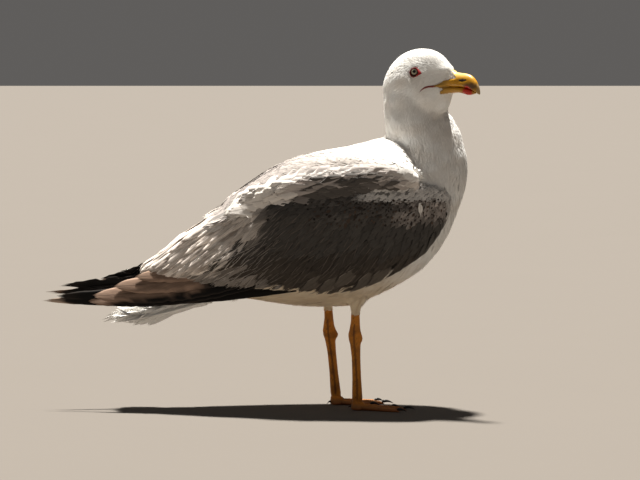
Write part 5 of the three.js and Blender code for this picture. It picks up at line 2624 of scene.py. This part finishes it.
@dataclass
class ShoulderCoat(SideTract):
    """The grey shoulder feathers that lap over the wing."""

    vane: Vane = Vane(
        lanes=6, rows=6, root=0.5, widest=0.5, tip=0.5, round_tip=0.35, ragged=0.04, cup=0.03,
        thickness=0.06
    )

    def build(self) -> None:
        """Grows the tract, rear feathers first so that the front ones lie over them."""
        seed = 300 + self.side.value

        def spacing(x: Array, z: Array) -> Array:
            """Distance between feathers over the shoulder.

            Args:
                x: How far forward.
                z: Heights.

            Returns:
                Distance to keep between feathers, 0 where none grow.
            """
            inside = (
                (z > table(SHOULDER, 2, x) + 4.5 * smooth(-30, 0, x))
                & (z < table(SHOULDER, 1, x) - 9) & (x < 71)
            )
            return np.where(inside & (x > -138), np.interp(x, [-130, 0, 70], [7.6, 7.2, 5.0]), 0)

        x, z = side_grid(spacing, (-140, 72), (214, 284), seed)
        rng = np.random.default_rng(seed)
        count = len(x)
        high = (z - table(SHOULDER, 2, x)) / (table(SHOULDER, 1, x) - table(SHOULDER, 2, x))
        slope = np.interp(x, [-130, -40, 60], [14, 6, 2]) + high * np.interp(
            x, [-130, -40, 60], [16, 14, 2]
        )
        length = (
            np.interp(x, [-135, -60, 20, 70], [50, 52, 40, 18])
            * rng.uniform(0.85, 1.15, count)
        )
        drop = z - table(SHOULDER, 2, x - length * 0.8) + 2 - 3.5 * smooth(-30, 0, x)
        length = np.clip(np.maximum(drop, 1.5) / np.sin(np.radians(slope + 2)), 9, length)
        half = (3.2 + 0.17 * length) * rng.uniform(0.9, 1.1, count)
        drift = ripple(flat_places(x, z), 28, 16)
        # Painted sunlight: the shoulder feathers grow paler towards their top.
        pale = smooth(-60, 10, x) * smooth(0.55, 1.0, high + 0.1 * drift)
        tint = mix(SHOULDER_GREY, BACK_PAINTED_SUNLIGHT, pale)
        # Painted sunlight: the rear shoulder feathers made paler.
        tint = mix(tint, SCAPULAR_PAINTED_SUNLIGHT, smooth(-30, -55, x + 6 * drift))
        # Painted shade: the lower part of the front shoulder feathers is darkened, as the lip that
        # faces down.
        dusk = np.interp(x, [-30, 20, 60], [0.66, 0.58, 0.46])
        tint = mix(
            tint, SHOULDER_PAINTED_SHADE, smooth(dusk, dusk - 0.2, high + 0.07 * drift) * smooth(-38, -14, x)
        )
        # Painted sunlight: the mantle's sunlit white at the front of the shoulders.
        tint = mix(tint, MANTLE_PAINTED_SUNLIGHT, painted_sunlight_share(x, z))
        tint = tint * (1 + rng.normal(0, 0.045, (count, 1)))
        loose = smooth(-30, -90, x)
        plumes = self.plumes(
            x, z, slope, length, half, (0.035, 0.15), tint, 0.5 * loose * rng.random(count),
            0.04 + 0.75 * loose * rng.random(count), seed,
            1.6 * smooth(0.3, 0.05, high) + 1.6 * loose * rng.random(count) ** 2,
        )
        finish = {
            "dark": (0.16, 0.13, 0.11), "pale": (0.7, 0.66, 0.62), "barbs": 0.3, "relief": 0.2
        }
        self.grow("shoulder", Slot.GREY, self.vane, plumes, 5, 0.85, 0.015, seed, **finish)


@dataclass
class BackCoat:
    """The mantle, with painted sunlit white at its front, and the grey feathers behind it, between
    the shoulders.
    """

    vane: Vane = Vane(
        lanes=4, rows=3, root=0.6, widest=0.45, tip=0.6, round_tip=0.3, ragged=0.1, cup=0.04
    )

    def build(self, shell: Shell) -> None:
        """Grows the tract.

        Args:
            shell: The surfaces of the bird.
        """

        def spacing(p: Array) -> Array:
            """Distance between feathers over the back.

            Args:
                p: Places in body millimetres.

            Returns:
                Distance to keep between feathers, 0 where none grow.
            """
            x, _, z = p.T
            top = (z > table(SHOULDER, 1, x) - 13) & (x > -141)
            return np.where(top & (((z > 246) & (cape(p) > -1.5) & (z < 307)) | (x < -40)), 3.4, 0)

        roots = shell.outer.scatter(spacing, 41)
        near, normals = shell.outer.nearest(roots)
        rng = np.random.default_rng(41)
        count = len(near)
        length = (
            np.interp(near[:, 0], [-140, -40, 20, 60], [30, 22, 15, 10])
            * rng.uniform(0.88, 1.12, count)
        )
        tint = tone(near) * (1 + rng.normal(0, 0.03, (count, 1)))
        marks = marks_for(0.05 * rng.random(count), 0.2 * rng.random(count), rng.random(count))
        ways = flatten(np.array([-1.0, 0, -0.25]) + rng.normal(0, 0.1, (count, 3)), normals)
        plumes = Plumes(
            near, normals, ways, length, 1.4 + 0.17 * length, np.full(count, -1.0),
            0.15 + rng.uniform(-0.15, 0.2, count), tint, marks, near[:, :2],
        )
        mesh = weave(
            "back", self.vane, plumes, plumes.spines(shell.outer, 3, None, 1.0), shell.axes, 0.006,
            41,
        )
        finish = FeatherFinish(
            "back", dark=(0.3, 0.26, 0.23), pale=(0.78, 0.74, 0.7), barbs=0.25, relief=0.2
        )
        add_piece("back", mesh, Slot.GREY, finish.material())


@dataclass
class Blades:
    """Long feathers that stand free of the body, each along its own bow."""

    root: Array
    tip: Array
    bow: float

    def plumes(
        self, facing: Array, half: Array, heights: Array, tint: Array, marks: Array, place: Array
    ) -> Plumes:
        """The blades as feathers.

        Args:
            facing: Which way their outer faces look.
            half: Their half widths.
            heights: How far each is set off its line.
            tint: Colours.
            marks: Dark middles, pale fringes and random numbers.
            place: Where each stands on the bake map.

        Returns:
            The feathers.
        """
        way = self.tip - self.root
        length = np.linalg.norm(way, axis=1)
        return Plumes(self.root, facing, way, length, half, heights, heights, tint, marks, place)

    def spines(self, facing: Array, steps: int = 8) -> tuple[Array, Array]:
        """Bowed lines from root to tip.

        Args:
            facing: Which way the feathers' outer faces look, a row for each.
            steps: Lengths in each line.

        Returns:
            The lines' points and normals.
        """
        t = np.linspace(0, 1, steps + 1)[None, :, None]
        way = unit(self.tip - self.root)
        across = unit(np.cross(facing, way))
        across = across * np.sign(across[:, 2:3] + 1e-9)
        bend = across * self.bow
        points = (
            self.root[:, None] * (1 - t) + self.tip[:, None] * t
            + bend[:, None] * 4 * t * (1 - t) * 0.5
        )
        normal = unit(facing - way * (facing * way).sum(1, keepdims=True))
        return points, np.repeat(normal[:, None], steps + 1, 1)


@dataclass
class Saddle:
    """Long pale feathers that lie over the rump, where the folded wings meet."""

    vane: Vane = Vane(
        lanes=4, rows=8, root=0.6, widest=0.5, tip=0.35, round_tip=0.12, ragged=0.05, cup=0.12,
        thickness=0.15, worn=0.12
    )
    length: float = 36.0

    def build(self, shell: Shell) -> None:
        """Grows the feathers, rear ones first.

        Args:
            shell: The surfaces of the bird.
        """
        rng = np.random.default_rng(61)
        x, y = (
            v.ravel()
            for v in np.meshgrid(
                np.linspace(-206, -138, 11), np.linspace(-13, 13, 7), indexing="ij"
            )
        )
        count = len(x)
        x, y = x + rng.uniform(-3, 3, count), y + rng.uniform(-1.6, 1.6, count)
        length = self.length * rng.uniform(0.8, 1.15, count) * np.interp(x, [-206, -185], [0.75, 1])
        far = x - length * 0.76
        crown = 1.2 - 0.012 * y**2
        root = np.stack([x, y, table(WING, 1, x) - 3.5 + crown], 1)
        tip = np.stack(
            [far, y * 0.9 + rng.normal(0, 1.2, count), table(WING, 1, far) + crown - 0.8], 1
        )
        facing = unit(np.stack([np.full(count, -0.6), 0.045 * y, np.ones(count)], 1))
        half = rng.uniform(3.4, 5.2, count)
        blades = Blades(root, tip, 0.8)
        tint = mix(TERTIAL, TERTIAL_BROWN, 0.5 * (rng.random(count) > 0.8))
        tint = tint * (1 + rng.normal(0, 0.07, (count, 1)))
        marks = marks_for(0.3 * rng.random(count), 0.5 + 0.5 * rng.random(count), rng.random(count))
        plumes = blades.plumes(facing, half, np.zeros(count), tint, marks, np.stack([x, y], 1))
        mesh = weave("saddle", self.vane, plumes, blades.spines(facing), shell.axes, 0.03, 61)
        add_piece("saddle", mesh, Slot.GREY, FeatherFinish("saddle", **WORN_PALE).material())


@dataclass
class WingTips(SideTract):
    """The long flight feathers whose tips cross over the tail."""

    # Tip x and z, root x and z, half width, the tip's place off the middle, the far wing's rise.
    rows: tuple = (
        (-340, 118.6, -62, 132.5, 7.2, 6.0, 0), (-326, 123.5, -62, 139, 9.5, 8.0, 2), (
            -291, 118.5, -100, 139, 10.5, 14.5, 9
        ),
        (-285, 125, -100, 146, 13.5, 17.0, 6), (-262, 135.5, -100, 157, 13.5, 20.0, 4), (
            -238, 146, -100, 168, 11.5, 23.0, 1
        ),
    )
    vane: Vane = Vane(
        lanes=6, rows=34, root=0.12, widest=0.5, tip=0.25, round_tip=0.03, ragged=0.008, cup=0.1,
        thickness=0.5, worn=0.14
    )

    def build(self) -> None:
        """Makes the feathers of one side."""
        side = self.side.value
        rows = np.array(self.rows, float)
        count = len(rows)
        shift = np.zeros((count, 3))
        if self.side is Side.LEFT:
            shift = np.stack([np.full(count, 5.0), np.zeros(count), 9 + rows[:, 6]], 1)
        outward = 48.0 - 0.8 * np.arange(count) + 2.5 * (np.arange(count) > 1)
        root = np.stack([rows[:, 2], side * outward, rows[:, 3]], 1) + shift * [0, 0, 1]
        tip = np.stack([rows[:, 0], side * rows[:, 5], rows[:, 1]], 1) + shift
        vane = replace(self.vane, worn=0.55, ragged=0.02) if self.side is Side.LEFT else self.vane
        facing = np.stack(
            [np.zeros(count), np.full(count, side * 0.9), np.where(rows[:, 5] < 10, 0.1, 0.4)], 1
        )
        blades = Blades(root, tip, -5.5)
        spines = blades.spines(unit(facing))
        tint = np.tile(FLIGHT_BLACK, (count, 1))
        marks = marks_for(0.3, 0.1, np.linspace(0, 1, count))
        place = np.stack([rows[:, 0], rows[:, 1] * 4 + np.arange(count) * 10], 1)
        plumes = blades.plumes(spines[1][:, 0], rows[:, 4], np.zeros(count), tint, marks, place)
        mesh = weave(f"wing_tip_{self.side.word}", vane, plumes, spines, self.shell.axes, 0.1, 7)
        if self.side is Side.RIGHT:
            self._worn_web(mesh, count)
            ends = {0: (0.935, TIP_BROWN)}
        else:
            ends = {0: (0.96, FLIGHT_BROWN), 2: (0.97, FLIGHT_BROWN)}
        self._brown_ends(mesh, vane.pattern(), count, ends)
        finish = FeatherFinish(
            f"wing_tip_{self.side.word}", dark=tuple(FLIGHT_BLACK), pale=(0.2, 0.15, 0.12),
            barbs=0.8,
            roughness=0.9, relief=0.3,
        )
        piece = add_piece(f"wing_tip_{self.side.word}", mesh, Slot.FLIGHT, finish.material())
        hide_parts(f"primaries_{self.side.word}")

    def _worn_web(self, mesh: bpy.types.Mesh, count: int) -> None:
        """Bleaches the nearer feathers' web brown above a slanting line, with streaks along it.

        Args:
            mesh: The piece.
            count: How many feathers it has.
        """
        points = read_points(mesh, self.shell.axes)[0].reshape(count, -1, 3)
        x, z = points[..., 0], points[..., 2]
        streak = ripple(flat_places(x.ravel() / 9, z.ravel()), 3.0, 61).reshape(x.shape)
        edge = np.interp(x, [-290, -265, -239, -212, -185, -163], [110, 116, 121, 124.5, 129, 133])
        share = smooth(-2.5, 2.5, z - edge + 2.5 * streak) * smooth(5, -9, x + 163 + 5 * streak)
        tint = mix(FLIGHT_BLACK, FLIGHT_BROWN, share.ravel())
        tint = (tint * (1 + 0.22 * streak.ravel()[:, None])).reshape(count, -1, 3)
        retint(mesh, count, lambda old: np.concatenate([old[:2], tint[2:]]))

    def _brown_ends(
        self, mesh: bpy.types.Mesh, pattern: Pattern, count: int, ends: dict[int, tuple]
    ) -> None:
        """Gives some feathers another colour from a share of their length on.

        Args:
            mesh: The piece.
            pattern: The feathers' shared net.
            count: How many feathers the piece has.
            ends: For a feather's number, the share of its length and the colour.
        """
        along = pattern.points[:, 1] + 0.5

        def change(old: Array) -> Array:
            """The tints with the chosen feathers' ends recoloured.

            Args:
                old: The tints so far.

            Returns:
                The new ones.
            """
            for index, (start, colour) in ends.items():
                edge = along + 0.02 * np.sin(9 * index + 40 * pattern.points[:, 0])
                old[index] = mix(old[index], colour, smooth(start - 0.02, start + 0.02, edge))
            return old

        retint(mesh, count, change)


@dataclass
class Tail:
    """The closed tail and the white feathers under it."""

    fan: Vane = Vane(
        lanes=4, rows=10, root=0.5, widest=0.6, tip=0.4, round_tip=0.05, ragged=0.03, cup=0.1,
        thickness=0.4
    )
    under: Vane = Vane(
        lanes=4, rows=4, root=0.6, widest=0.45, tip=0.5, round_tip=0.25, ragged=0.2, cup=0.2
    )
    lock: Vane = Vane(
        lanes=4, rows=10, root=0.7, widest=0.3, tip=0.12, round_tip=0.02, ragged=0.03, cup=0.25,
        thickness=0.2,
    )
    # Root x and z, tip x and z, half width.
    locks: tuple = (
        (-226, 113, -274, 95.5, 1.8), (-214, 112, -261, 109, 2.2), (-204, 113, -257, 96.5, 2.6),
        (-200, 112, -247, 92, 2.6),
        (-192, 113, -237, 89.5, 3.6), (-182, 115, -224, 94, 4.2), (-170, 116, -208, 101, 4.2),
        (-158, 118, -192, 108.5, 4.0),
    )
    copies: int = 5

    def build(self, shell: Shell) -> None:
        """Makes the fan and the feathers under it.

        Args:
            shell: The surfaces of the bird.
        """
        finish = FeatherFinish(
            "tail", dark=(0.4, 0.36, 0.32), pale=(0.86, 0.84, 0.81), barbs=0.4, sheen=0.1,
            relief=0.2,
        )
        material = finish.material()
        piece = self._fan(shell, material)
        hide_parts("tail")
        self._under(shell, material)

    def _fan(self, shell: Shell, material: bpy.types.Material) -> bpy.types.Object:
        """The white tail feathers, as one fan.

        Args:
            shell: The bird's body.
            material: Their finish.

        Returns:
            The piece.
        """
        count = 12
        share = np.linspace(-0.5, 0.5, count)
        root = np.stack([np.full(count, -128.0), share * 16, np.full(count, 131.0)], 1)
        tip = np.stack([-268 + np.abs(share) * 22, share * 50, 99 + (0.25 - share**2) * 9], 1)
        facing = unit(np.stack([np.full(count, -0.22), share * 0.5, np.ones(count)], 1))
        blades = Blades(root, tip, 2.0)
        spines = blades.spines(facing)
        tint = np.tile(WHITE * 0.93, (count, 1))
        marks = marks_for(0.0, 0.3, np.linspace(0, 1, count))
        place = np.stack([share, np.tile([0.0, 1.0], count // 2)], 1)
        half = np.full(count, 8.5)
        plumes = blades.plumes(spines[1][:, 0], half, np.abs(share) * -4, tint, marks, place)
        mesh = weave("tail_fan", self.fan, plumes, spines, shell.axes, 0.06, 3)
        return add_piece("tail_fan", mesh, Slot.WHITE, material)

    def _under(self, shell: Shell, material: bpy.types.Material) -> None:
        """The soft white feathers under and over the root of the tail.

        Args:
            shell: The bird's body.
            material: Their finish.
        """
        surface = Surface(remeshed(["tail"], 1.6, 3), shell.axes)

        def spacing(p: Array) -> Array:
            """Distance between feathers around the root of the tail."""
            return np.where((p[:, 0] > -246) & (p[:, 2] < 140), 3.1, 0)

        near, normals = surface.nearest(surface.scatter(spacing, 51))
        near, normals = near[normals[:, 0] > -0.45], normals[normals[:, 0] > -0.45]
        rng = np.random.default_rng(51)
        count = len(near)
        ways = flatten(np.array([-1.0, 0, -0.3]) + rng.normal(0, 0.16, (count, 3)), normals)
        longest = (
            np.interp(near[:, 0], [-240, -190, -130], [26, 24, 18])
            * rng.uniform(0.7, 1.25, count)
        )
        length = np.clip(near[:, 0] + 266, 6, longest)
        tint = WHITE * (1 + rng.normal(0, 0.04, (count, 1)))
        marks = marks_for(0.0, 0.0, rng.random(count))
        plumes = Plumes(
            near, normals, ways, length, rng.uniform(1.3, 2.8, count), np.full(count, -2.0),
            rng.uniform(-0.6, 0.4, count), tint, marks, near[:, :2],
        )
        spines = plumes.spines(surface, 3, None, 0.2)
        mesh = weave("undertail", self.under, plumes, spines, shell.axes, 0.004, 51)
        add_piece("undertail", mesh, Slot.WHITE, material)
        self._locks(shell, material)

    def _locks(self, shell: Shell, material: bpy.types.Material) -> None:
        """The pointed locks that hang below the tail's edge.

        Args:
            shell: The bird's body.
            material: Their finish.
        """
        rng = np.random.default_rng(53)
        rows = np.repeat(np.array(self.locks, float), self.copies, 0)
        count = len(rows)
        aside = (
            np.tile(np.linspace(-13, 13, self.copies), len(self.locks))
            + rng.uniform(-2, 2, count)
        )
        jitter = rng.normal(0, 1.6, (count, 4)) * [1, 0.5, 2.4, 1.2]
        root = np.stack([rows[:, 0] + jitter[:, 0], aside, rows[:, 1] + jitter[:, 1]], 1)
        tip = np.stack(
            [rows[:, 2] + jitter[:, 2], aside * 0.9, rows[:, 3] + jitter[:, 3] + 0.02 * aside**2], 1
        )
        facing = unit(
            np.stack([np.full(count, 0.2), -0.9 + 0.02 * aside, np.full(count, -0.45)], 1)
        )
        blades = Blades(root, tip, rng.uniform(-1.5, 1.5))
        tint = WHITE * (1 + rng.normal(0, 0.05, (count, 1)))
        marks = marks_for(0.0, 0.3, rng.random(count))
        half = rows[:, 4] * rng.uniform(0.7, 1.1, count)
        plumes = blades.plumes(facing, half, np.zeros(count), tint, marks, root[:, :2])
        mesh = weave("tail_locks", self.lock, plumes, blades.spines(facing), shell.axes, 0.03, 53)
        add_piece("tail_locks", mesh, Slot.WHITE, material)


# ---------------------------------------------------------------- legs and claws


@dataclass
class Leg:
    """A bare leg with its webbed foot, from ankle feathers to toes."""

    side: Side
    voxel: float = 0.62
    orange: tuple = (0.6, 0.21, 0.015)
    dusky: tuple = (0.28, 0.095, 0.009)
    toe_brown: tuple = (0.26, 0.12, 0.05)
    web_red: tuple = (0.34, 0.09, 0.03)
    # Height, distance ahead of the stance, half depth and half width.
    shank: tuple = (
        (4, 5.2, 6.4, 5.0), (12, 4.6, 6.2, 4.6), (18, 4.4, 5.7, 4.2), (36, 3.9, 4.9, 3.5),
        (57, 3.2, 4.8, 3.5),
        (73, 2.3, 5.8, 4.4), (81.5, 1.9, 7.3, 5.2), (89, 1.9, 6.0, 4.8), (97, 2.4, 5.0, 4.3),
        (117, 2.4, 4.6, 4.1),
    )

    def _middle(self, z: Array) -> Array:
        """The leg's middle line: x at each height."""
        at, _, lean = STANCE[self.side.value]
        return at + table(self.shank, 1, z) + lean * z / BELLY_HEIGHT

    def _core(self, axes: Axes) -> bmesh.types.BMesh:
        """One form through the whole leg, from inside the belly's feathers down into the foot.

        Args:
            axes: The part's axes.

        Returns:
            The form.
        """
        low, high = self.shank[0][0], self.shank[-1][0]
        aside = STANCE[self.side.value][1] * self.side.value

        def place(share: float, angle: float) -> Array:
            """A point of the leg's surface.

            Args:
                share: From 0 to 1 along the form.
                angle: Angle around it, in radians.

            Returns:
                The point.
            """
            z = np.array(low + (high - low) * share)
            close = math.sqrt(max(0.0, 1 - (2 * share - 1) ** 12))
            depth, width = float(table(self.shank, 2, z)) * close, float(
                table(self.shank, 3, z)
            ) * close
            return np.array(
                [
                    float(self._middle(z)) + depth * math.cos(angle),
                    aside + width * math.sin(angle), float(z)
                ]
            )

        return loft(20, 70, place, axes)

    def _scutes(self, points: Array, normals: Array) -> Array:
        """How far the scaly skin stands up, in millimetres.

        Args:
            points: Places in body millimetres.
            normals: Their normals.

        Returns:
            The rise.
        """
        x, _, z = points.T
        on_shank = smooth(9, 14, z)
        plates = np.abs(np.sin(z / 3.1 * np.pi))
        front = smooth(0.1, 0.7, normals[:, 0])
        shank = (plates**0.5 - 0.6) * 0.22 * front + 0.06 * ripple(points, 2.4, 8) * (1 - front)
        knob = 2.6 if self.side is Side.LEFT else 1.4
        shank = shank + knob * np.exp(-(((z - 78) / 4.2) ** 2)) * smooth(0.3, 0.9, normals[:, 0])
        shank = shank - 0.55 * self._groove(points)
        toe = (
            (np.abs(np.sin(x / 2.3 * np.pi)) ** 0.6 - 0.6) * 0.16 * smooth(0.3, 0.9, normals[:, 2])
            * smooth(2.2, 3.6, z)
        )
        web = 0.05 * ripple(points, 2.2, 6)
        return shank * on_shank + (toe + web) * (1 - on_shank)

    def _groove(self, points: Array) -> Array:
        """The groove in front of the tendon, down both faces of the leg.

        Args:
            points: Places in body millimetres.

        Returns:
            The depth, from 0 to 1.
        """
        x, _, z = points.T
        off = x - self._middle(z) + 0.6 - 0.6 * np.sin(z / 17)
        return np.exp(-((off / 0.75) ** 2)) * smooth(8, 20, z) * smooth(97, 86, z)

    def _tint(self, points: Array, rise: Array) -> Array:
        """The skin's colours, with painted shade in the hollows between the scales and in the
        groove before the tendon.

        Args:
            points: Places in body millimetres.
            rise: How far the skin stands up there.

        Returns:
            The colours.
        """
        z = points[:, 2]
        web = smooth(5.0, 3.0, z) * smooth(2.0, 1.0, np.abs(z - 1.2))
        tint = np.tile(self.orange, (len(points), 1))
        tint = mix(tint, self.dusky, 0.55 * smooth(0.0, 0.9, ripple(points, 17, 2)))
        tint = mix(tint, self.toe_brown, 0.7 * smooth(9, 4, z))
        tint = mix(tint, self.web_red, 0.5 * web)
        # Painted shade in the hollows between the scales.
        tint = mix(
            tint, tint * 0.35,
            smooth(0.0, -0.12, rise) * smooth(9, 14, z) * (1 - self._groove(points)),
        )
        # Painted shade in the groove before the tendon.
        return mix(tint, tint * 0.3, 0.85 * self._groove(points))

    def build(self, shell: Shell) -> None:
        """Builds the leg.

        Args:
            shell: The surfaces of the bird.
        """
        word = self.side.word
        mesh = remeshed([f"shank_{word}", f"foot_{word}"], self.voxel, 3, self._core(shell.axes))
        points, normals = read_points(mesh, shell.axes)
        rise = self._scutes(points, normals) * smooth(0.2, 1.0, points[:, 2])
        moved = points + normals * rise[:, None]
        moved[:, 2] = np.maximum(moved[:, 2], 0.0)
        write_points(mesh, moved, shell.axes)
        mesh.polygons.foreach_set("use_smooth", np.ones(len(mesh.polygons), bool))
        paint(mesh, "tint", self._tint(moved, rise))
        finish = MottledFinish(
            f"leg_skin_{word}", coarse=260.0, fine=1600.0, strength=0.6, roughness=0.5,
            specular=0.3,
            relief=Relief.SCALES, relief_strength=0.4,
        )
        piece = add_piece(f"leg_{word}", mesh, Slot.LEG, finish.material())
        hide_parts(f"shank_{word}", f"foot_{word}")


@dataclass
class Claws:
    """The four claws of one foot."""

    side: Side
    inside: float = 5.0
    colour: tuple = (0.016, 0.013, 0.011)

    def _ends(self, toe: str, axes: Axes) -> tuple[Array, Array, float]:
        """Where a claw starts and ends, and its thickness, from its place in the frame.

        Args:
            toe: The toe's name.
            axes: The part's axes.

        Returns:
            Start, end and thickness.
        """
        low, high = (
            axes.body(np.array(corner))
            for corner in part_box(f"claw_{self.side.word}_{toe}")
        )
        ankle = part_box(f"shank_{self.side.word}")
        middle = axes.body((np.array(ankle[0]) + np.array(ankle[1])) / 2)
        centre = (low + high) / 2
        way = unit((centre - middle) * [1, 1, 0])
        size = abs(float((high - low) @ np.abs(way)))
        thick = 1.25 if toe == "hind" else 1.85
        length = math.hypot(high[0] - low[0], high[1] - low[1]) if toe == "hind" else size
        if toe == "hind":
            way = unit(np.array([-0.8, -0.45 * self.side.value, 0.0]))
            return centre - way * length * 0.9, centre + way * length * 0.45, thick
        return centre - way * (length * 0.5 + self.inside), centre + way * (
            length * 0.5 - 0.4
        ), thick

    def build(self, axes: Axes) -> None:
        """Builds hooked claws where the frame has them.

        Args:
            axes: Where the body's axes lie.
        """
        word = self.side.word
        toes = ("inner", "middle", "outer", "hind")
        bm = bmesh.new()
        for toe in toes:
            start, end, thick = self._ends(toe, axes)
            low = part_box(f"claw_{word}_{toe}")[0][2] / MM
            base = 2.7 if toe != "hind" else start[2] + 1.0
            aside = unit(np.cross(end - start, [0, 0, 1.0]))

            def place(share: float, angle: float) -> Array:
                """A point of a claw's surface.

                Args:
                    share: From 0 to 1 along the form.
                    angle: Angle around it, in radians.

                Returns:
                    The point.
                """
                height = base + 3.2 * share * (1 - share) * 1.6 + (low + 0.45 - base) * share**2.2
                size = (
                    thick * math.sqrt(max(0.0, 1 - (1 - min(share / 0.3, 1.0)) ** 2))
                    * (1 - 0.88 * share**1.6)
                )
                size *= 1.0 if share < 0.999 else 0.0
                centre = (start * (1 - share) + end * share) * [1, 1, 0] + [0, 0, height]
                return centre + aside * (0.8 * size * math.cos(angle)) + np.array(
                    [0, 0, size * math.sin(angle)]
                )

            bm.from_mesh(smooth_shaded(loft(12, 24, place, axes), "claw"))
        for vert in bm.verts:
            vert.co.z = max(vert.co.z, 0.0)
        finish = MottledFinish(
            f"claw_horn_{word}", coarse=500.0, fine=2000.0, strength=0.8, roughness=0.35,
            colour=self.colour
        )
        mesh = smooth_shaded(bm, f"claws_{word}")
        piece = add_piece(f"claws_{word}", mesh, Slot.CLAW, finish.material())
        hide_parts(*[f"claw_{word}_{toe}" for toe in toes])


# ---------------------------------------------------------------- studio


@dataclass
class Studio:
    """The floor, the lights and the camera."""

    camera_at: tuple = (0.0675, -3.4937, 0.3956)
    camera_aim: tuple = (0.0675, 0.0, 0.185)
    lens: float = 179.0
    sensor: float = 36.0
    floor_size: float = 30.0
    floor_colour: tuple = (0.12, 0.105, 0.09)
    world_colour: tuple = (0.66, 0.63, 0.605)
    world_strength: float = 0.175

    def _floor(self) -> None:
        """A wide plain floor."""
        bm = bmesh.new()
        bmesh.ops.create_grid(bm, x_segments=1, y_segments=1, size=self.floor_size)
        floor = bpy.data.objects.new("floor", smooth_shaded(bm, "floor"))
        bpy.context.scene.collection.objects.link(floor)
        finish = MottledFinish(
            "floor", coarse=4.0, fine=40.0, strength=0.04, roughness=0.9, colour=self.floor_colour
        )
        floor.data.materials.append(finish.material())

    def _light(self, name: str, way: tuple, spread: float, power: float, colour: tuple) -> None:
        """Adds one soft light that looks at the middle of the bird.

        Args:
            name: Its name.
            way: Where it shines from.
            spread: Its size in metres.
            power: Watts.
            colour: Its colour.
        """
        data = bpy.data.lights.new(name, "SUN")
        data.angle = math.radians(spread)
        data.energy = power
        data.color = colour
        light = bpy.data.objects.new(name, data)
        light.rotation_euler = Vector(way).to_track_quat("-Z", "Y").to_euler()
        bpy.context.scene.collection.objects.link(light)

    def build(self) -> None:
        """Sets the floor, lights and camera."""
        self._floor()
        self._light("key", (0.04, -0.25, -1.0), 4.0, 12.5, (1.0, 0.965, 0.9))
        self._light("fill", (0.5, 1.0, -0.45), 60.0, 0.08, (1.0, 0.98, 0.96))
        world = bpy.data.worlds.new("studio")
        world.use_nodes = True
        back = world.node_tree.nodes["Background"]
        back.inputs["Color"].default_value = rgb(self.world_colour)
        back.inputs["Strength"].default_value = self.world_strength
        bpy.context.scene.world = world
        bpy.context.scene.view_settings.view_transform = "Standard"
        camera = bpy.data.objects.new("camera", bpy.data.cameras.new("camera"))
        camera.data.lens = self.lens
        camera.data.sensor_width = self.sensor
        camera.location = self.camera_at
        way = Vector(self.camera_aim) - Vector(self.camera_at)
        camera.rotation_euler = way.to_track_quat("-Z", "Y").to_euler()
        bpy.context.scene.collection.objects.link(camera)
        bpy.context.scene.camera = camera


# ---------------------------------------------------------------- the whole bird


def main() -> None:
    """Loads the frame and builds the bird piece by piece."""
    logging.basicConfig(level=logging.INFO, format="%(message)s")
    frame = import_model()
    FRAME_NODES.update({name: node.name for name, node in frame["nodes"].items()})
    Groups.make()
    Studio().build()
    axes = Axes.from_frame()
    shell = Shell.make(axes)
    Bill().build(shell)
    eyes = [Eye(side) for side in Side]
    for eye in eyes:
        eye.build(shell)
    gapes = [Gape(side).build(shell) for side in Side]
    BodyCoat().build(shell, eyes, gapes)
    BackCoat().build(shell)
    Saddle().build(shell)
    for side in Side:
        WingCoat(side, shell).build()
        ShoulderCoat(side, shell).build()
        WingTips(side, shell).build()
        Leg(side).build(shell)
        Claws(side).build(axes)
    Tail().build(shell)
    Skin().build(shell)


if __name__ == "__main__":
    main()
